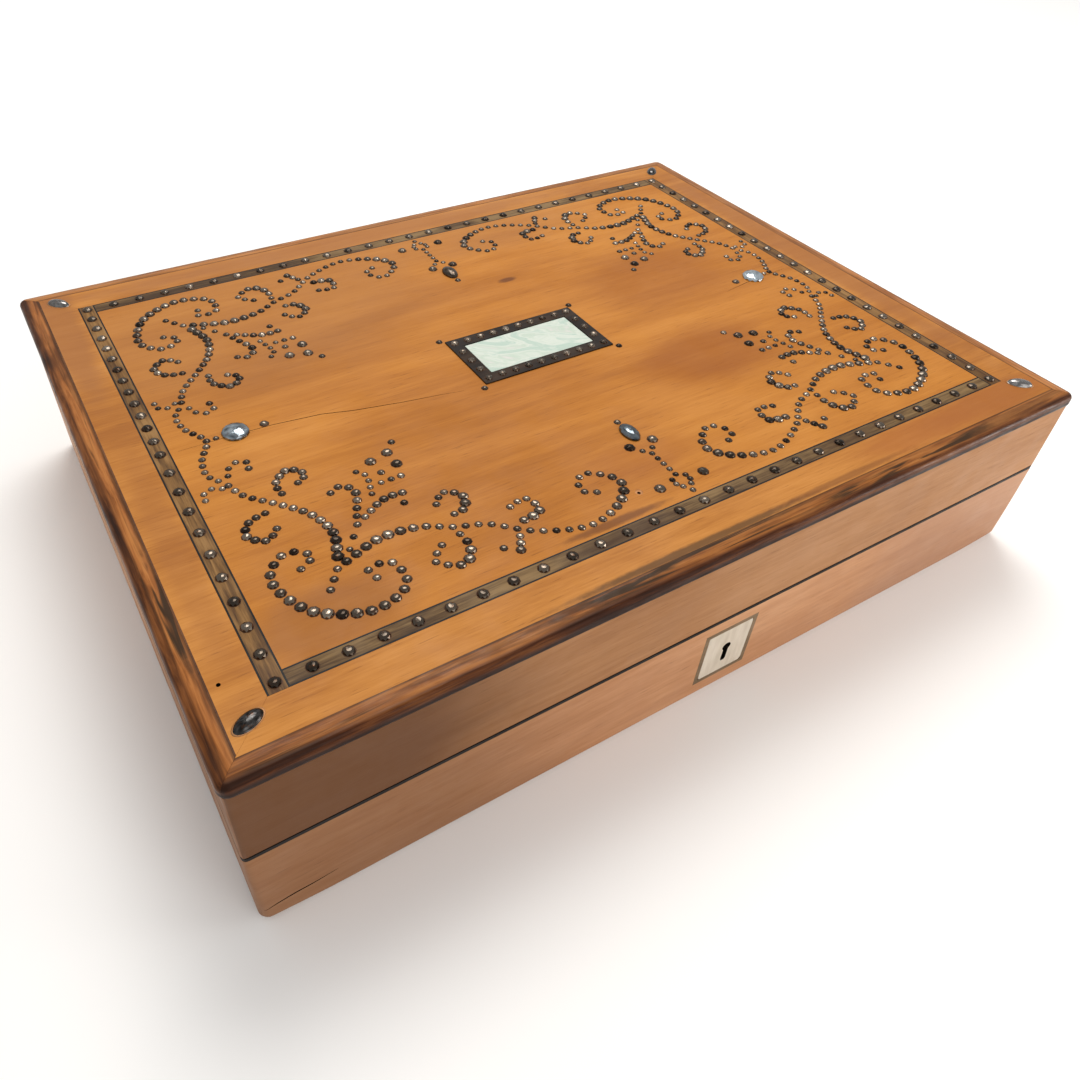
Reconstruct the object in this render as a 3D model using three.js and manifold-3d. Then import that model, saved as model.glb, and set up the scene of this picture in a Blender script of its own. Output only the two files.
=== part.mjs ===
// A low wooden games box with a hinged lid. The lid is veneered, edged with a dark moulding and
// set with cut-steel studs in scrolls round a mother-of-pearl plaque.
// Millimetres, +Z up. The origin is on the ground under the middle of the box, the front faces -Y.
import * as THREE from 'three';
import { mergeGeometries, mergeVertices } from 'three/addons/utils/BufferGeometryUtils.js';
import Module from 'manifold-3d';

const wasm = await Module();
wasm.setup();

// Driving dimensions of the box
const boxWidth = 300; // along X, over the veneered sides
const boxDepth = 227; // along Y, over the veneered sides
const baseHeight = 35.4; // ground to the top of the base's rim
const lidHeight = 32; // lower edge of the lid to its veneered top
const lidGap = 0.3; // between the two rims with the lid closed
const bottomThickness = 6;
const bottomArris = 1.2; // worn lower edge all round
const wallThickness = 8; // base and lid walls
const cornerRadius = 1.5; // upright corners, rubbed round
const rimEdging = 1.2; // ebonised edging on top of the base's walls
const fitGap = 0.3; // round a piece that is let into another
const overcut = 1; // how far a cutting block runs past the face it opens
const cornerSegments = 3; // faces round a rubbed corner

// The lid's top, from outside to inside
const mouldingInset = 5.4; // inner edge of the moulding, in from the sides
const mouldingOverhang = 0.6; // nose of the moulding, out from the sides
const mouldingHeight = 4.7;
const mouldingFall = 0.5; // from the veneer down to the moulding's shoulder
const shoulderRadius = 1.7;
const shoulderSteps = 3;
const noseFoot = 1.1; // height at which the nose turns under
const noseTuck = 0.5; // how far it turns under
const mouldingCornerRadius = 3; // the nose's corners, rubbed round
const lidBoardThickness = 6;
const veneer = 1.2; // saw-cut veneer on the lid
const stripInset = 17; // outer edge of the dark strip, in from the sides
const stripWidth = 5.6;

// Studs: low pyramids of polished steel, with three faces on the narrow ones and four on the others
const narrowStud = 2.55;
const studFaces = (width) => (width < narrowStud ? 3 : 4);
const studHeightShare = 0.42; // height of a stud as a share of its width
const studSunk = 0.2; // how far its foot is let into the wood
const stripStud = 3.3;
const bigStud = 3;
const mediumStud = 2.5;
const smallStud = 2;
const tinyStud = 1.7;
const frontStudPitch = 9.3; // along the front and back strips
const leftStudPitches = [9.2, 7.2]; // the maker closed up towards the back on this side
const rightStudPitches = [8.1, 8.1];

// Plaque in the middle of the lid
const plaqueWidth = 42.6;
const plaqueDepth = 18.7;
const plaqueThickness = 1;
const plaqueFrameWidth = 5;
const plaqueFrameThickness = 1.2;
const plaqueSeatDepth = 0.7;
const plaqueStudPitch = 5.6;
const plaquePinOffset = 1.5; // of the pin outside each corner of its frame, along X and Y

// Jewels and the corner studs
const roundJewel = 8.6;
const dropJewelLength = 9;
const dropJewelWidth = 5.6;
const jewelHeight = 2;
const jewelFacets = 10;
const roundTableShare = 0.45; // flat top of a jewel as a share of its width
const dropTableShare = 0.4;
const cornerStudLength = 8.2;
const cornerStudWidth = 4.4;
const cornerStudHeight = 1.6;
const cornerStudFacets = 12;
const cornerStudTableShare = 0.35;
// No two of them were set quite alike: inset from the lid's sides along X and Y, and the turn of the
// stud's length from the X axis in degrees
const cornerStuds = [
  { name: 'front_left', mirror: [-1, -1], inset: [11, 12.7], turn: 22 },
  { name: 'front_right', mirror: [1, -1], inset: [12.7, 12.7], turn: -42 },
  { name: 'back_left', mirror: [-1, 1], inset: [11.7, 10.8], turn: -45 },
  { name: 'back_right', mirror: [1, 1], inset: [12.7, 10.8], turn: 48 },
];

// Lock and keyhole plate in the middle of the front
const plateOffset = 4.3; // to the right of the middle
const plateWidth = 18;
const plateThickness = 1;
const plateSurround = 1.6;
const plateFootGap = 0.15; // between the surround and the bottom board
const plateHeadroom = 4.35; // from the surround up to the edging
const keyholeRadius = 1.6;
const keyholeSides = 12;
const keyholeSlotWidth = 2;
const keyholeSlotLength = 6.5;
const keyholeRise = 1.6; // of the round hole above the plate's middle
const lockWidth = 40;
const lockBelowKeyhole = 1.7; // metal left under the keyhole's slot
const lockCaseDepth = 5;
const linkWidth = 10;
const linkThickness = 2.4;
const linkDrop = 6;
const linkPlateThickness = 1.2;
const linkPlay = 0.8; // round the link where it drops into the lock

// Hinges on the back
const hingeLength = 40;
const hingeInset = 45; // from the side of the box to the hinge's middle
const hingeLeafDepth = 7;
const knuckleRadius = 1.9;
const knuckleCount = 5;
const knuckleSides = 10;
const knuckleGap = 0.3;

// Heights and half sizes that follow from them
const halfWidth = boxWidth / 2;
const halfDepth = boxDepth / 2;
const wallTop = baseHeight - rimEdging;
const lidBottom = baseHeight + lidGap;
const lidTop = lidBottom + lidHeight;
const mouldingBottom = lidTop - mouldingHeight;
const boardTop = lidTop - veneer;
const boardBottom = boardTop - lidBoardThickness;
const fieldInset = stripInset + stripWidth;
const fieldHalfWidth = halfWidth - fieldInset;
const fieldHalfDepth = halfDepth - fieldInset;
const frameHalfWidth = plaqueWidth / 2 + plaqueFrameWidth;
const frameHalfDepth = plaqueDepth / 2 + plaqueFrameWidth;
const plateFoot = bottomThickness + plateFootGap + plateSurround;
const plateHead = wallTop - plateHeadroom - plateSurround;
const keyholeZ = (plateFoot + plateHead) / 2 + keyholeRise;
const lockFoot = keyholeZ - keyholeSlotLength - lockBelowKeyhole;
const hingeAxisY = halfDepth + knuckleRadius + fitGap;
const hingeAxisZ = baseHeight + lidGap / 2;

const finishes = {
  satinwood: { color: 0xbe7d41, roughness: 0.38, metalness: 0 },
  sideVeneer: { color: 0xa8703f, roughness: 0.45, metalness: 0 },
  moulding: { color: 0x5e3015, roughness: 0.35, metalness: 0 },
  darkStrip: { color: 0x6b5236, roughness: 0.45, metalness: 0 },
  ebony: { color: 0x221a15, roughness: 0.45, metalness: 0 },
  pine: { color: 0xb58a58, roughness: 0.7, metalness: 0 },
  bone: { color: 0xcfc3ad, roughness: 0.4, metalness: 0 },
  pearl: { color: 0xd5dcd0, roughness: 0.25, metalness: 0 },
  steel: { color: 0x6a6c70, roughness: 0.3, metalness: 1 },
  brass: { color: 0xa98545, roughness: 0.4, metalness: 1 },
};

// Solids and booleans
function solidOf(geometry) {
  const bare = geometry.clone();
  bare.deleteAttribute('normal');
  bare.deleteAttribute('uv');
  const merged = mergeVertices(bare, 1e-4);
  return new wasm.Manifold(new wasm.Mesh({
    numProp: 3,
    vertProperties: merged.attributes.position.array,
    triVerts: new Uint32Array(merged.index.array),
  }));
}

function geometryOf(solid) {
  const mesh = solid.getMesh();
  const geometry = new THREE.BufferGeometry();
  geometry.setAttribute('position', new THREE.BufferAttribute(mesh.vertProperties, 3));
  geometry.setIndex(new THREE.BufferAttribute(mesh.triVerts, 1));
  const faceted = geometry.toNonIndexed();
  faceted.computeVertexNormals();
  return faceted;
}

const cut = (geometry, ...tools) =>
  geometryOf(tools.reduce((left, tool) => left.subtract(solidOf(tool)), solidOf(geometry)));

const join = (geometry, ...others) =>
  geometryOf(others.reduce((sum, other) => sum.add(solidOf(other)), solidOf(geometry)));

const common = (geometry, other) => geometryOf(solidOf(geometry).intersect(solidOf(other)));

// A box between two opposite corners
function block([x0, y0, z0], [x1, y1, z1]) {
  return new THREE.BoxGeometry(x1 - x0, y1 - y0, z1 - z0)
    .translate((x0 + x1) / 2, (y0 + y1) / 2, (z0 + z1) / 2);
}

// An upright slab with its four corners rounded
function roundedSlab(halfX, halfY, z0, z1, radius) {
  const outline = new THREE.Shape();
  outline.absarc(halfX - radius, halfY - radius, radius, 0, Math.PI / 2);
  outline.absarc(radius - halfX, halfY - radius, radius, Math.PI / 2, Math.PI);
  outline.absarc(radius - halfX, radius - halfY, radius, Math.PI, Math.PI * 1.5);
  outline.absarc(halfX - radius, radius - halfY, radius, Math.PI * 1.5, Math.PI * 2);
  const settings = { depth: z1 - z0, bevelEnabled: false, curveSegments: cornerSegments };
  return new THREE.ExtrudeGeometry(outline, settings).translate(0, 0, z0);
}

// A length of one section, mitred at both ends, along one side of a rectangle of innerX by innerY.
// The section is a list of [out, z], where out is measured outwards from that rectangle.
const sides = ['front', 'right', 'back', 'left'];

function mitredBar(side, innerX, innerY, section) {
  const turns = sides.indexOf(side);
  const [along, across] = turns % 2 === 0 ? [innerX, innerY] : [innerY, innerX];
  const outline = new THREE.Shape(section.map(([out, z]) => new THREE.Vector2(out, z)));
  const bar = new THREE.ExtrudeGeometry(outline, { depth: 2, bevelEnabled: false });
  const place = bar.attributes.position;
  for (let i = 0; i < place.count; i += 1) {
    const out = place.getX(i);
    const z = place.getY(i);
    const end = place.getZ(i) > 1 ? -1 : 1;
    let [x, y] = [end * (along + out), -(across + out)];
    for (let turn = 0; turn < turns; turn += 1) [x, y] = [-y, x];
    place.setXYZ(i, x, y, z);
  }
  bar.computeVertexNormals();
  return bar;
}

const rectangle = (width, z0, z1) => [[0, z0], [width, z0], [width, z1], [0, z1]];

// Studs, jewels and their places
function pyramid(x, y, width, top) {
  const height = width * studHeightShare + studSunk;
  return new THREE.ConeGeometry(width / 2, height, studFaces(width))
    .rotateX(Math.PI / 2)
    .translate(x, y, top - studSunk + height / 2);
}

const withStuds = (geometry, studs, top) =>
  join(geometry, mergeGeometries(studs.map(([x, y, width]) => pyramid(x, y, width, top))));

// A low faceted dome on an oval foot: a belt of facets and a smaller table
function facetedOval(lengthX, lengthY, height, count, tableShare) {
  const dome = new THREE.CylinderGeometry(tableShare, 1, height, count, 1)
    .rotateX(Math.PI / 2)
    .scale(lengthX / 2, lengthY / 2, 1)
    .translate(0, 0, height / 2);
  return dome;
}

// Places along a row from start to end, both included, at about the given pitch
function evenRow(start, end, pitch) {
  const gaps = Math.max(1, Math.round(Math.abs(end - start) / pitch));
  return Array.from({ length: gaps + 1 }, (_, i) => start + ((end - start) * i) / gaps);
}

// A row whose first half has one pitch and whose second half another
function changingRow(start, end, [firstPitch, secondPitch]) {
  const middle = (start + end) / 2;
  return [...evenRow(start, middle, firstPitch), ...evenRow(middle, end, secondPitch).slice(1)];
}

// The scrolls of one quarter of the lid, drawn in hundredths of the field's half width and half depth
// from the middle of the lid: the line of each scroll, how many studs it has, and their widths at
// equal steps from its start to its end. Most scrolls swell in their middle.
const scrolls = [
  { line: [[87.5, 69.5], [84, 66], [89, 61.5], [94, 70], [90, 85.5], [79.5, 93.5], [70.5, 89.5],
    [70.5, 79.5], [75.5, 79], [75, 83]], studs: 25, widths: [smallStud, bigStud, smallStud] },
  { line: [[84.5, 81], [81, 74.5]], studs: 3, widths: [smallStud, smallStud] },
  { line: [[79.5, 70], [77.5, 60], [79.5, 49.5], [84.5, 40.5], [90, 32], [92, 25]], studs: 16,
    widths: [bigStud, mediumStud, smallStud, smallStud] },
  { line: [[88, 42.5], [92, 44], [94, 49.5], [90.5, 54], [87.5, 50.5]], studs: 9,
    widths: [smallStud, mediumStud, smallStud] },
  { line: [[82.5, 36.5], [82.5, 31], [78.5, 26.5], [75.5, 31], [78, 34]], studs: 9,
    widths: [smallStud, mediumStud, smallStud] },
  { line: [[78.5, 73], [69.5, 69], [60.5, 70.5], [54, 75.5], [47, 79.5], [39, 89], [27.5, 95],
    [17, 90.5], [13, 82], [19, 74], [23, 80], [20, 83.5]], studs: 34,
    widths: [mediumStud, bigStud, smallStud, smallStud, smallStud, smallStud, bigStud, smallStud,
      smallStud] },
  { line: [[52, 70.5], [49, 69.5], [47.5, 64], [51, 60], [54, 64]], studs: 8,
    widths: [smallStud, bigStud, smallStud, smallStud] },
  { line: [[54, 79], [54, 85.5], [57.5, 90.5], [62.5, 85.5], [59, 80.5]], studs: 9,
    widths: [smallStud, bigStud, smallStud, smallStud] },
  { line: [[42, 83.5], [35, 82], [35.5, 75], [40, 76]], studs: 8,
    widths: [smallStud, bigStud, smallStud, smallStud] },
  { line: [[43, 88.5], [45.5, 94], [48, 90.5]], studs: 5, widths: [smallStud, mediumStud, smallStud] },
  { line: [[76.5, 69], [72, 60.5]], studs: 3, widths: [tinyStud, smallStud] },
  { line: [[71, 57], [68, 47], [70, 42], [73, 43.5]], studs: 7,
    widths: [smallStud, mediumStud, smallStud] },
  { line: [[69.5, 58.5], [63.5, 54], [58, 54.5], [60, 58.5]], studs: 8,
    widths: [smallStud, mediumStud, smallStud] },
  // The flower between the two leaves: two rays, a fan of three big studs and a last small one
  { line: [[65, 50], [63.5, 41.5], [65, 38]], studs: 5, widths: [tinyStud, tinyStud] },
  { line: [[61.5, 46.5], [56.5, 46.5]], studs: 3, widths: [tinyStud, smallStud] },
  { line: [[60.5, 35.5], [55.5, 34], [55.5, 40.5]], studs: 3, widths: [bigStud, bigStud] },
  { line: [[60, 42]], studs: 1, widths: [smallStud] },
  { line: [[53, 29.5]], studs: 1, widths: [smallStud] },
  // Half of the motif in the middle of each side, with its two hooked ends
  { line: [[92, 3], [94.5, 9.5], [95, 17.5], [92, 24]], studs: 8, widths: [smallStud, tinyStud] },
  { line: [[91, 20.5], [90, 17], [87.5, 15], [85.5, 17], [86, 20]], studs: 5,
    widths: [tinyStud, smallStud] },
  { line: [[93.5, 25.5], [96, 24], [98, 26], [98, 28.5]], studs: 4, widths: [tinyStud, tinyStud] },
  // Half of the motif in the middle of the front and the back
  { line: [[3.5, 70.5], [1.5, 74]], studs: 2, widths: [bigStud, tinyStud] },
  { line: [[2, 90.5], [2.2, 92.3], [1.2, 94.7]], studs: 3, widths: [tinyStud, tinyStud] },
  { line: [[6.5, 92]], studs: 1, widths: [bigStud] },
];

// Studs on the middle lines, which aren't mirrored: [along, across] in the same hundredths
const sideMiddle = { line: [[91.3, 0], [89, 0]], studs: 2, widths: [smallStud, tinyStud] };
const sidePin = { line: [[77, 0]], studs: 1, widths: [mediumStud] };
const endMiddle = { line: [[0, 76.5], [0, 88.8]], studs: 5, widths: [tinyStud, tinyStud] };
const endTip = { line: [[0, 97.5]], studs: 1, widths: [tinyStud] };
const endPin = { line: [[0, 57]], studs: 1, widths: [smallStud] };
const sideJewelShare = 84.2;
const endJewelShare = 64;
const lostStudShares = [-11.5, -90]; // only its hole is left
const lostStudHole = 1.8;
const lostStudDepth = 0.8;
const lostStudSides = 6;

// The value at t, from 0 to 1, on straight lines through equally spaced values
function through(values, t) {
  const place = t * (values.length - 1);
  const span = Math.min(Math.floor(place), values.length - 2);
  return values[span] + (values[span + 1] - values[span]) * (place - span);
}

const onField = ([u, v]) => [(u / 100) * fieldHalfWidth, (v / 100) * fieldHalfDepth];

// Evenly spaced studs along a smooth line through the given points
function studsAlong({ line, studs, widths }, mirrorX, mirrorY) {
  const points = line.map(onField).map(([x, y]) => new THREE.Vector3(x * mirrorX, y * mirrorY, 0));
  if (studs === 1) return [[points[0].x, points[0].y, widths[0]]];
  const curve = new THREE.CatmullRomCurve3(points, false, 'catmullrom');
  return curve.getSpacedPoints(studs - 1)
    .map((p, i) => [p.x, p.y, through(widths, i / (studs - 1))]);
}

// Leaves out any stud that would stand on an earlier one or on a jewel
function withoutClashes(studs, keepClear) {
  const kept = [...keepClear];
  for (const [x, y, width] of studs) {
    const clear = kept.every(([a, b, other]) => Math.hypot(x - a, y - b) > (width + other) / 2);
    if (clear) kept.push([x, y, width]);
  }
  return kept.slice(keepClear.length);
}

const jewelPlaces = {
  left: onField([-sideJewelShare, 0]),
  right: onField([sideJewelShare, 0]),
  front: onField([0, -endJewelShare]),
  back: onField([0, endJewelShare]),
};

function fieldStuds() {
  const all = [];
  for (const [mirrorX, mirrorY] of [[-1, -1], [1, -1], [-1, 1], [1, 1]]) {
    for (const scroll of scrolls) all.push(...studsAlong(scroll, mirrorX, mirrorY));
  }
  for (const mirror of [-1, 1]) {
    for (const motif of [sideMiddle, sidePin]) all.push(...studsAlong(motif, mirror, 1));
    for (const motif of [endMiddle, endTip, endPin]) all.push(...studsAlong(motif, 1, mirror));
    const pinY = mirror * (frameHalfDepth + plaquePinOffset);
    for (const end of [-1, 1]) all.push([end * (frameHalfWidth + plaquePinOffset), pinY, smallStud]);
  }
  const jewels = [
    ...['left', 'right'].map((side) => [...jewelPlaces[side], roundJewel]),
    ...['front', 'back'].map((side) => [...jewelPlaces[side], dropJewelLength]),
  ];
  return withoutClashes(all, jewels);
}

// The object's tree
const box = new THREE.Group();
const base = new THREE.Group();
const lid = new THREE.Group();
box.add(base, lid);

function add(group, name, geometry, finish) {
  const mesh = new THREE.Mesh(geometry, new THREE.MeshStandardMaterial(finishes[finish]));
  mesh.name = name;
  group.add(mesh);
}

// Hinges: their places along the back, and the pockets that their leaves lie in
const hingePlaces = { left: hingeInset - halfWidth, right: halfWidth - hingeInset };
const leafFront = halfDepth - hingeLeafDepth;

function hingePocket(x, z0, z1) {
  return block([x - hingeLength / 2 - fitGap, leafFront - fitGap, z0],
    [x + hingeLength / 2 + fitGap, halfDepth + overcut, z1]);
}

// One leaf: its plate, and its share of the knuckles, each joined to the plate by a neck
function hingeLeaf(x, z0, z1, firstKnuckle) {
  const pitch = (hingeLength + knuckleGap) / knuckleCount;
  const knuckle = pitch - knuckleGap;
  const plate = block([x - hingeLength / 2, leafFront, z0], [x + hingeLength / 2, halfDepth, z1]);
  const pieces = [];
  for (let i = firstKnuckle; i < knuckleCount; i += 2) {
    const start = x - hingeLength / 2 + i * pitch;
    pieces.push(new THREE.CylinderGeometry(knuckleRadius, knuckleRadius, knuckle, knuckleSides)
      .rotateZ(Math.PI / 2)
      .translate(start + knuckle / 2, hingeAxisY, hingeAxisZ));
    pieces.push(block([start, leafFront, z0], [start + knuckle, hingeAxisY, z1]));
  }
  return join(plate, ...pieces);
}

// Lock: a case let into the front wall from behind, with a selvedge flush with the rim
const lockLeft = plateOffset - lockWidth / 2;
const lockRight = plateOffset + lockWidth / 2;
const wallInside = -halfDepth + wallThickness;
const caseFront = wallInside - lockCaseDepth;
const linkMiddle = (caseFront + wallInside) / 2;

function keyhole() {
  const round = new THREE.CylinderGeometry(keyholeRadius, keyholeRadius, wallThickness * 2, keyholeSides)
    .translate(plateOffset, -halfDepth, keyholeZ);
  const slot = block(
    [plateOffset - keyholeSlotWidth / 2, -halfDepth - wallThickness, keyholeZ - keyholeSlotLength],
    [plateOffset + keyholeSlotWidth / 2, -halfDepth + wallThickness, keyholeZ],
  );
  return join(round, slot);
}

function lockPocket(grow) {
  return block([lockLeft - grow, caseFront - grow, lockFoot - grow],
    [lockRight + grow, wallInside + overcut, baseHeight + overcut]);
}

function lock() {
  const body = block([lockLeft, caseFront, lockFoot], [lockRight, wallInside, baseHeight]);
  const linkSlot = block(
    [plateOffset - linkWidth / 2 - linkPlay, linkMiddle - linkThickness / 2 - linkPlay,
      baseHeight - linkDrop - linkPlay],
    [plateOffset + linkWidth / 2 + linkPlay, linkMiddle + linkThickness / 2 + linkPlay,
      baseHeight + overcut],
  );
  return cut(body, linkSlot, keyhole());
}

function linkPlate() {
  const plateTop = lidBottom + linkPlateThickness;
  const plate = block([lockLeft, caseFront, lidBottom], [lockRight, wallInside, plateTop]);
  const link = block(
    [plateOffset - linkWidth / 2, linkMiddle - linkThickness / 2, baseHeight - linkDrop],
    [plateOffset + linkWidth / 2, linkMiddle + linkThickness / 2, lidBottom + linkPlateThickness / 2],
  );
  return join(plate, link);
}

// Base: bottom board, four mitred walls and the ebonised edging on their tops
function bottomBoard() {
  const upper = roundedSlab(halfWidth, halfDepth, bottomArris, bottomThickness, cornerRadius);
  const lower = roundedSlab(halfWidth, halfDepth, 0, bottomArris, cornerRadius);
  const place = lower.attributes.position;
  for (let i = 0; i < place.count; i += 1) {
    if (place.getZ(i) > bottomArris / 2) continue;
    place.setX(i, place.getX(i) - Math.sign(place.getX(i)) * bottomArris);
    place.setY(i, place.getY(i) - Math.sign(place.getY(i)) * bottomArris);
  }
  return join(upper, lower);
}

// The place of the keyhole plate, grown all round, between two depths from the wall's face
const platePlace = (grow, y0, y1) => block(
  [plateOffset - plateWidth / 2 - grow, y0 - halfDepth, plateFoot - grow],
  [plateOffset + plateWidth / 2 + grow, y1 - halfDepth, plateHead + grow],
);

function wall(side, z0, z1) {
  const bar = mitredBar(side, halfWidth - wallThickness, halfDepth - wallThickness,
    rectangle(wallThickness, z0, z1));
  return common(bar, roundedSlab(halfWidth, halfDepth, z0 - overcut, z1 + overcut, cornerRadius));
}

add(base, 'base_bottom_board', bottomBoard(), 'pine');
for (const side of sides) {
  let board = wall(side, bottomThickness, wallTop);
  let edging = wall(side, wallTop, baseHeight);
  if (side === 'front') {
    const recess = platePlace(plateSurround + fitGap, -overcut, plateThickness);
    board = cut(board, recess, keyhole(), lockPocket(fitGap));
    edging = cut(edging, lockPocket(fitGap));
  }
  if (side === 'back') {
    const pockets = Object.values(hingePlaces)
      .map((x) => hingePocket(x, wallTop - overcut, baseHeight + overcut));
    edging = cut(edging, ...pockets);
  }
  add(base, `base_${side}_wall`, board, 'sideVeneer');
  add(base, `base_edging_${side}`, edging, 'ebony');
}

const plate = platePlace(0, 0, plateThickness);
const surround = platePlace(plateSurround, 0, plateThickness);
add(base, 'keyhole_plate', cut(plate, keyhole()), 'bone');
add(base, 'keyhole_plate_surround',
  cut(surround, platePlace(fitGap / 2, -overcut, plateThickness + overcut)), 'ebony');
add(base, 'lock', lock(), 'brass');
for (const [side, x] of Object.entries(hingePlaces)) {
  add(base, `hinge_${side}_lower_leaf`, hingeLeaf(x, wallTop, baseHeight, 0), 'brass');
}

// Lid: four mitred rails, a board rebated into them, and the moulding round its edge
for (const side of sides) {
  let rail = wall(side, lidBottom, mouldingBottom);
  if (side === 'front') {
    rail = cut(rail, block([lockLeft - fitGap, caseFront - fitGap, lidBottom - overcut],
      [lockRight + fitGap, wallInside + overcut, lidBottom + linkPlateThickness]));
  }
  if (side === 'back') {
    const pockets = Object.values(hingePlaces)
      .map((x) => hingePocket(x, lidBottom - overcut, lidBottom + rimEdging));
    rail = cut(rail, ...pockets);
  }
  add(lid, `lid_${side}_rail`, rail, 'sideVeneer');
}

function lidBoard() {
  const [x, y] = [halfWidth - wallThickness, halfDepth - wallThickness];
  const [outerX, outerY] = [halfWidth - mouldingInset, halfDepth - mouldingInset];
  return join(block([-x, -y, boardBottom], [x, y, mouldingBottom]),
    block([-outerX, -outerY, mouldingBottom], [outerX, outerY, boardTop]));
}

// The moulding falls gently from the veneer to a round shoulder, drops to an upright nose and turns
// under to the side
const mouldingWidth = mouldingInset + mouldingOverhang;
const mouldingSection = [
  [0, mouldingBottom],
  [mouldingWidth - noseTuck, mouldingBottom],
  [mouldingWidth, mouldingBottom + noseFoot],
];
for (let step = 0; step <= shoulderSteps; step += 1) {
  const turn = ((Math.PI / 2) * step) / shoulderSteps;
  mouldingSection.push([
    mouldingWidth - shoulderRadius * (1 - Math.cos(turn)),
    lidTop - mouldingFall - shoulderRadius * (1 - Math.sin(turn)),
  ]);
}
mouldingSection.push([0, lidTop]);

function moulding(side) {
  const bar = mitredBar(side, halfWidth - mouldingInset, halfDepth - mouldingInset, mouldingSection);
  return common(bar, roundedSlab(halfWidth + mouldingOverhang, halfDepth + mouldingOverhang,
    mouldingBottom - overcut, lidTop + overcut, mouldingCornerRadius));
}

add(lid, 'lid_board', lidBoard(), 'pine');
for (const side of sides) {
  add(lid, `lid_moulding_${side}`, moulding(side), 'moulding');
  add(lid, `crossband_${side}`, mitredBar(side, halfWidth - stripInset, halfDepth - stripInset,
    rectangle(stripInset - mouldingInset, boardTop, lidTop)), 'satinwood');
}

// The dark strips: the two at the sides run through, with the corner studs on them
const stripX = fieldHalfWidth + stripWidth / 2;
const stripY = fieldHalfDepth + stripWidth / 2;

for (const [side, mirror, pitches] of [['left', -1, leftStudPitches], ['right', 1, rightStudPitches]]) {
  const edges = [mirror * fieldHalfWidth, mirror * (fieldHalfWidth + stripWidth)].sort((a, b) => a - b);
  const strip = block([edges[0], -fieldHalfDepth - stripWidth, boardTop],
    [edges[1], fieldHalfDepth + stripWidth, lidTop]);
  const studs = changingRow(-stripY, stripY, pitches).map((y) => [mirror * stripX, y, stripStud]);
  add(lid, `studded_strip_${side}`, withStuds(strip, studs, lidTop), 'darkStrip');
}
for (const [side, mirror] of [['front', -1], ['back', 1]]) {
  const edges = [mirror * fieldHalfDepth, mirror * (fieldHalfDepth + stripWidth)].sort((a, b) => a - b);
  const strip = block([-fieldHalfWidth, edges[0], boardTop], [fieldHalfWidth, edges[1], lidTop]);
  const studs = evenRow(-stripX, stripX, frontStudPitch).slice(1, -1)
    .map((x) => [x, mirror * stripY, stripStud]);
  add(lid, `studded_strip_${side}`, withStuds(strip, studs, lidTop), 'darkStrip');
}

// The field with its scrolls of studs, and the seat of the plaque
function fieldPanel() {
  const panel = block([-fieldHalfWidth, -fieldHalfDepth, boardTop],
    [fieldHalfWidth, fieldHalfDepth, lidTop]);
  const seat = block([-frameHalfWidth - fitGap, -frameHalfDepth - fitGap, lidTop - plaqueSeatDepth],
    [frameHalfWidth + fitGap, frameHalfDepth + fitGap, lidTop + overcut]);
  const [x, y] = onField(lostStudShares);
  const hole = new THREE.CylinderGeometry(lostStudHole / 2, lostStudHole / 2, lostStudDepth * 2,
    lostStudSides)
    .rotateX(Math.PI / 2)
    .translate(x, y, lidTop);
  return withStuds(cut(panel, seat, hole), fieldStuds(), lidTop);
}
add(lid, 'field_panel', fieldPanel(), 'satinwood');

// The plaque and its four mitred frame pieces, studded along their middles
const frameBottom = lidTop - plaqueSeatDepth;
const frameTop = frameBottom + plaqueFrameThickness;
const frameStudX = plaqueWidth / 2 + plaqueFrameWidth / 2;
const frameStudY = plaqueDepth / 2 + plaqueFrameWidth / 2;
for (const side of sides) {
  const bar = mitredBar(side, plaqueWidth / 2, plaqueDepth / 2,
    rectangle(plaqueFrameWidth, frameBottom, frameTop));
  const mirror = side === 'front' || side === 'left' ? -1 : 1;
  const lengthwise = side === 'front' || side === 'back';
  const half = lengthwise ? frameStudX : frameStudY;
  const studs = evenRow(-half, half, plaqueStudPitch).slice(1, -1)
    .map((along) => (lengthwise ? [along, mirror * frameStudY] : [mirror * frameStudX, along]))
    .map(([x, y]) => [x, y, smallStud]);
  add(lid, `plaque_frame_${side}`, withStuds(bar, studs, frameTop), 'ebony');
}
const pearlHalfWidth = plaqueWidth / 2 - fitGap / 2;
const pearlHalfDepth = plaqueDepth / 2 - fitGap / 2;
add(lid, 'pearl_plaque', block([-pearlHalfWidth, -pearlHalfDepth, frameBottom],
  [pearlHalfWidth, pearlHalfDepth, frameBottom + plaqueThickness]), 'pearl');

// Jewels, and the four oval studs that point roughly along the mitres of the lid's corners
for (const side of sides) {
  const [x, y] = jewelPlaces[side];
  const sideways = side === 'left' || side === 'right';
  const jewel = sideways
    ? facetedOval(roundJewel, roundJewel, jewelHeight, jewelFacets, roundTableShare)
    : facetedOval(dropJewelWidth, dropJewelLength, jewelHeight, jewelFacets, dropTableShare);
  add(lid, `jewel_${side}`, jewel.translate(x, y, lidTop), 'steel');
}
for (const { name, mirror, inset, turn } of cornerStuds) {
  const stud = facetedOval(cornerStudLength, cornerStudWidth, cornerStudHeight, cornerStudFacets,
    cornerStudTableShare)
    .rotateZ(THREE.MathUtils.degToRad(turn))
    .translate(mirror[0] * (halfWidth - inset[0]), mirror[1] * (halfDepth - inset[1]), lidTop);
  add(lid, `corner_stud_${name}`, stud, 'steel');
}

add(lid, 'lock_link_plate', linkPlate(), 'brass');
for (const [side, x] of Object.entries(hingePlaces)) {
  add(lid, `hinge_${side}_upper_leaf`, hingeLeaf(x, lidBottom, lidBottom + rimEdging, 1), 'brass');
}

export default box;
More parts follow.
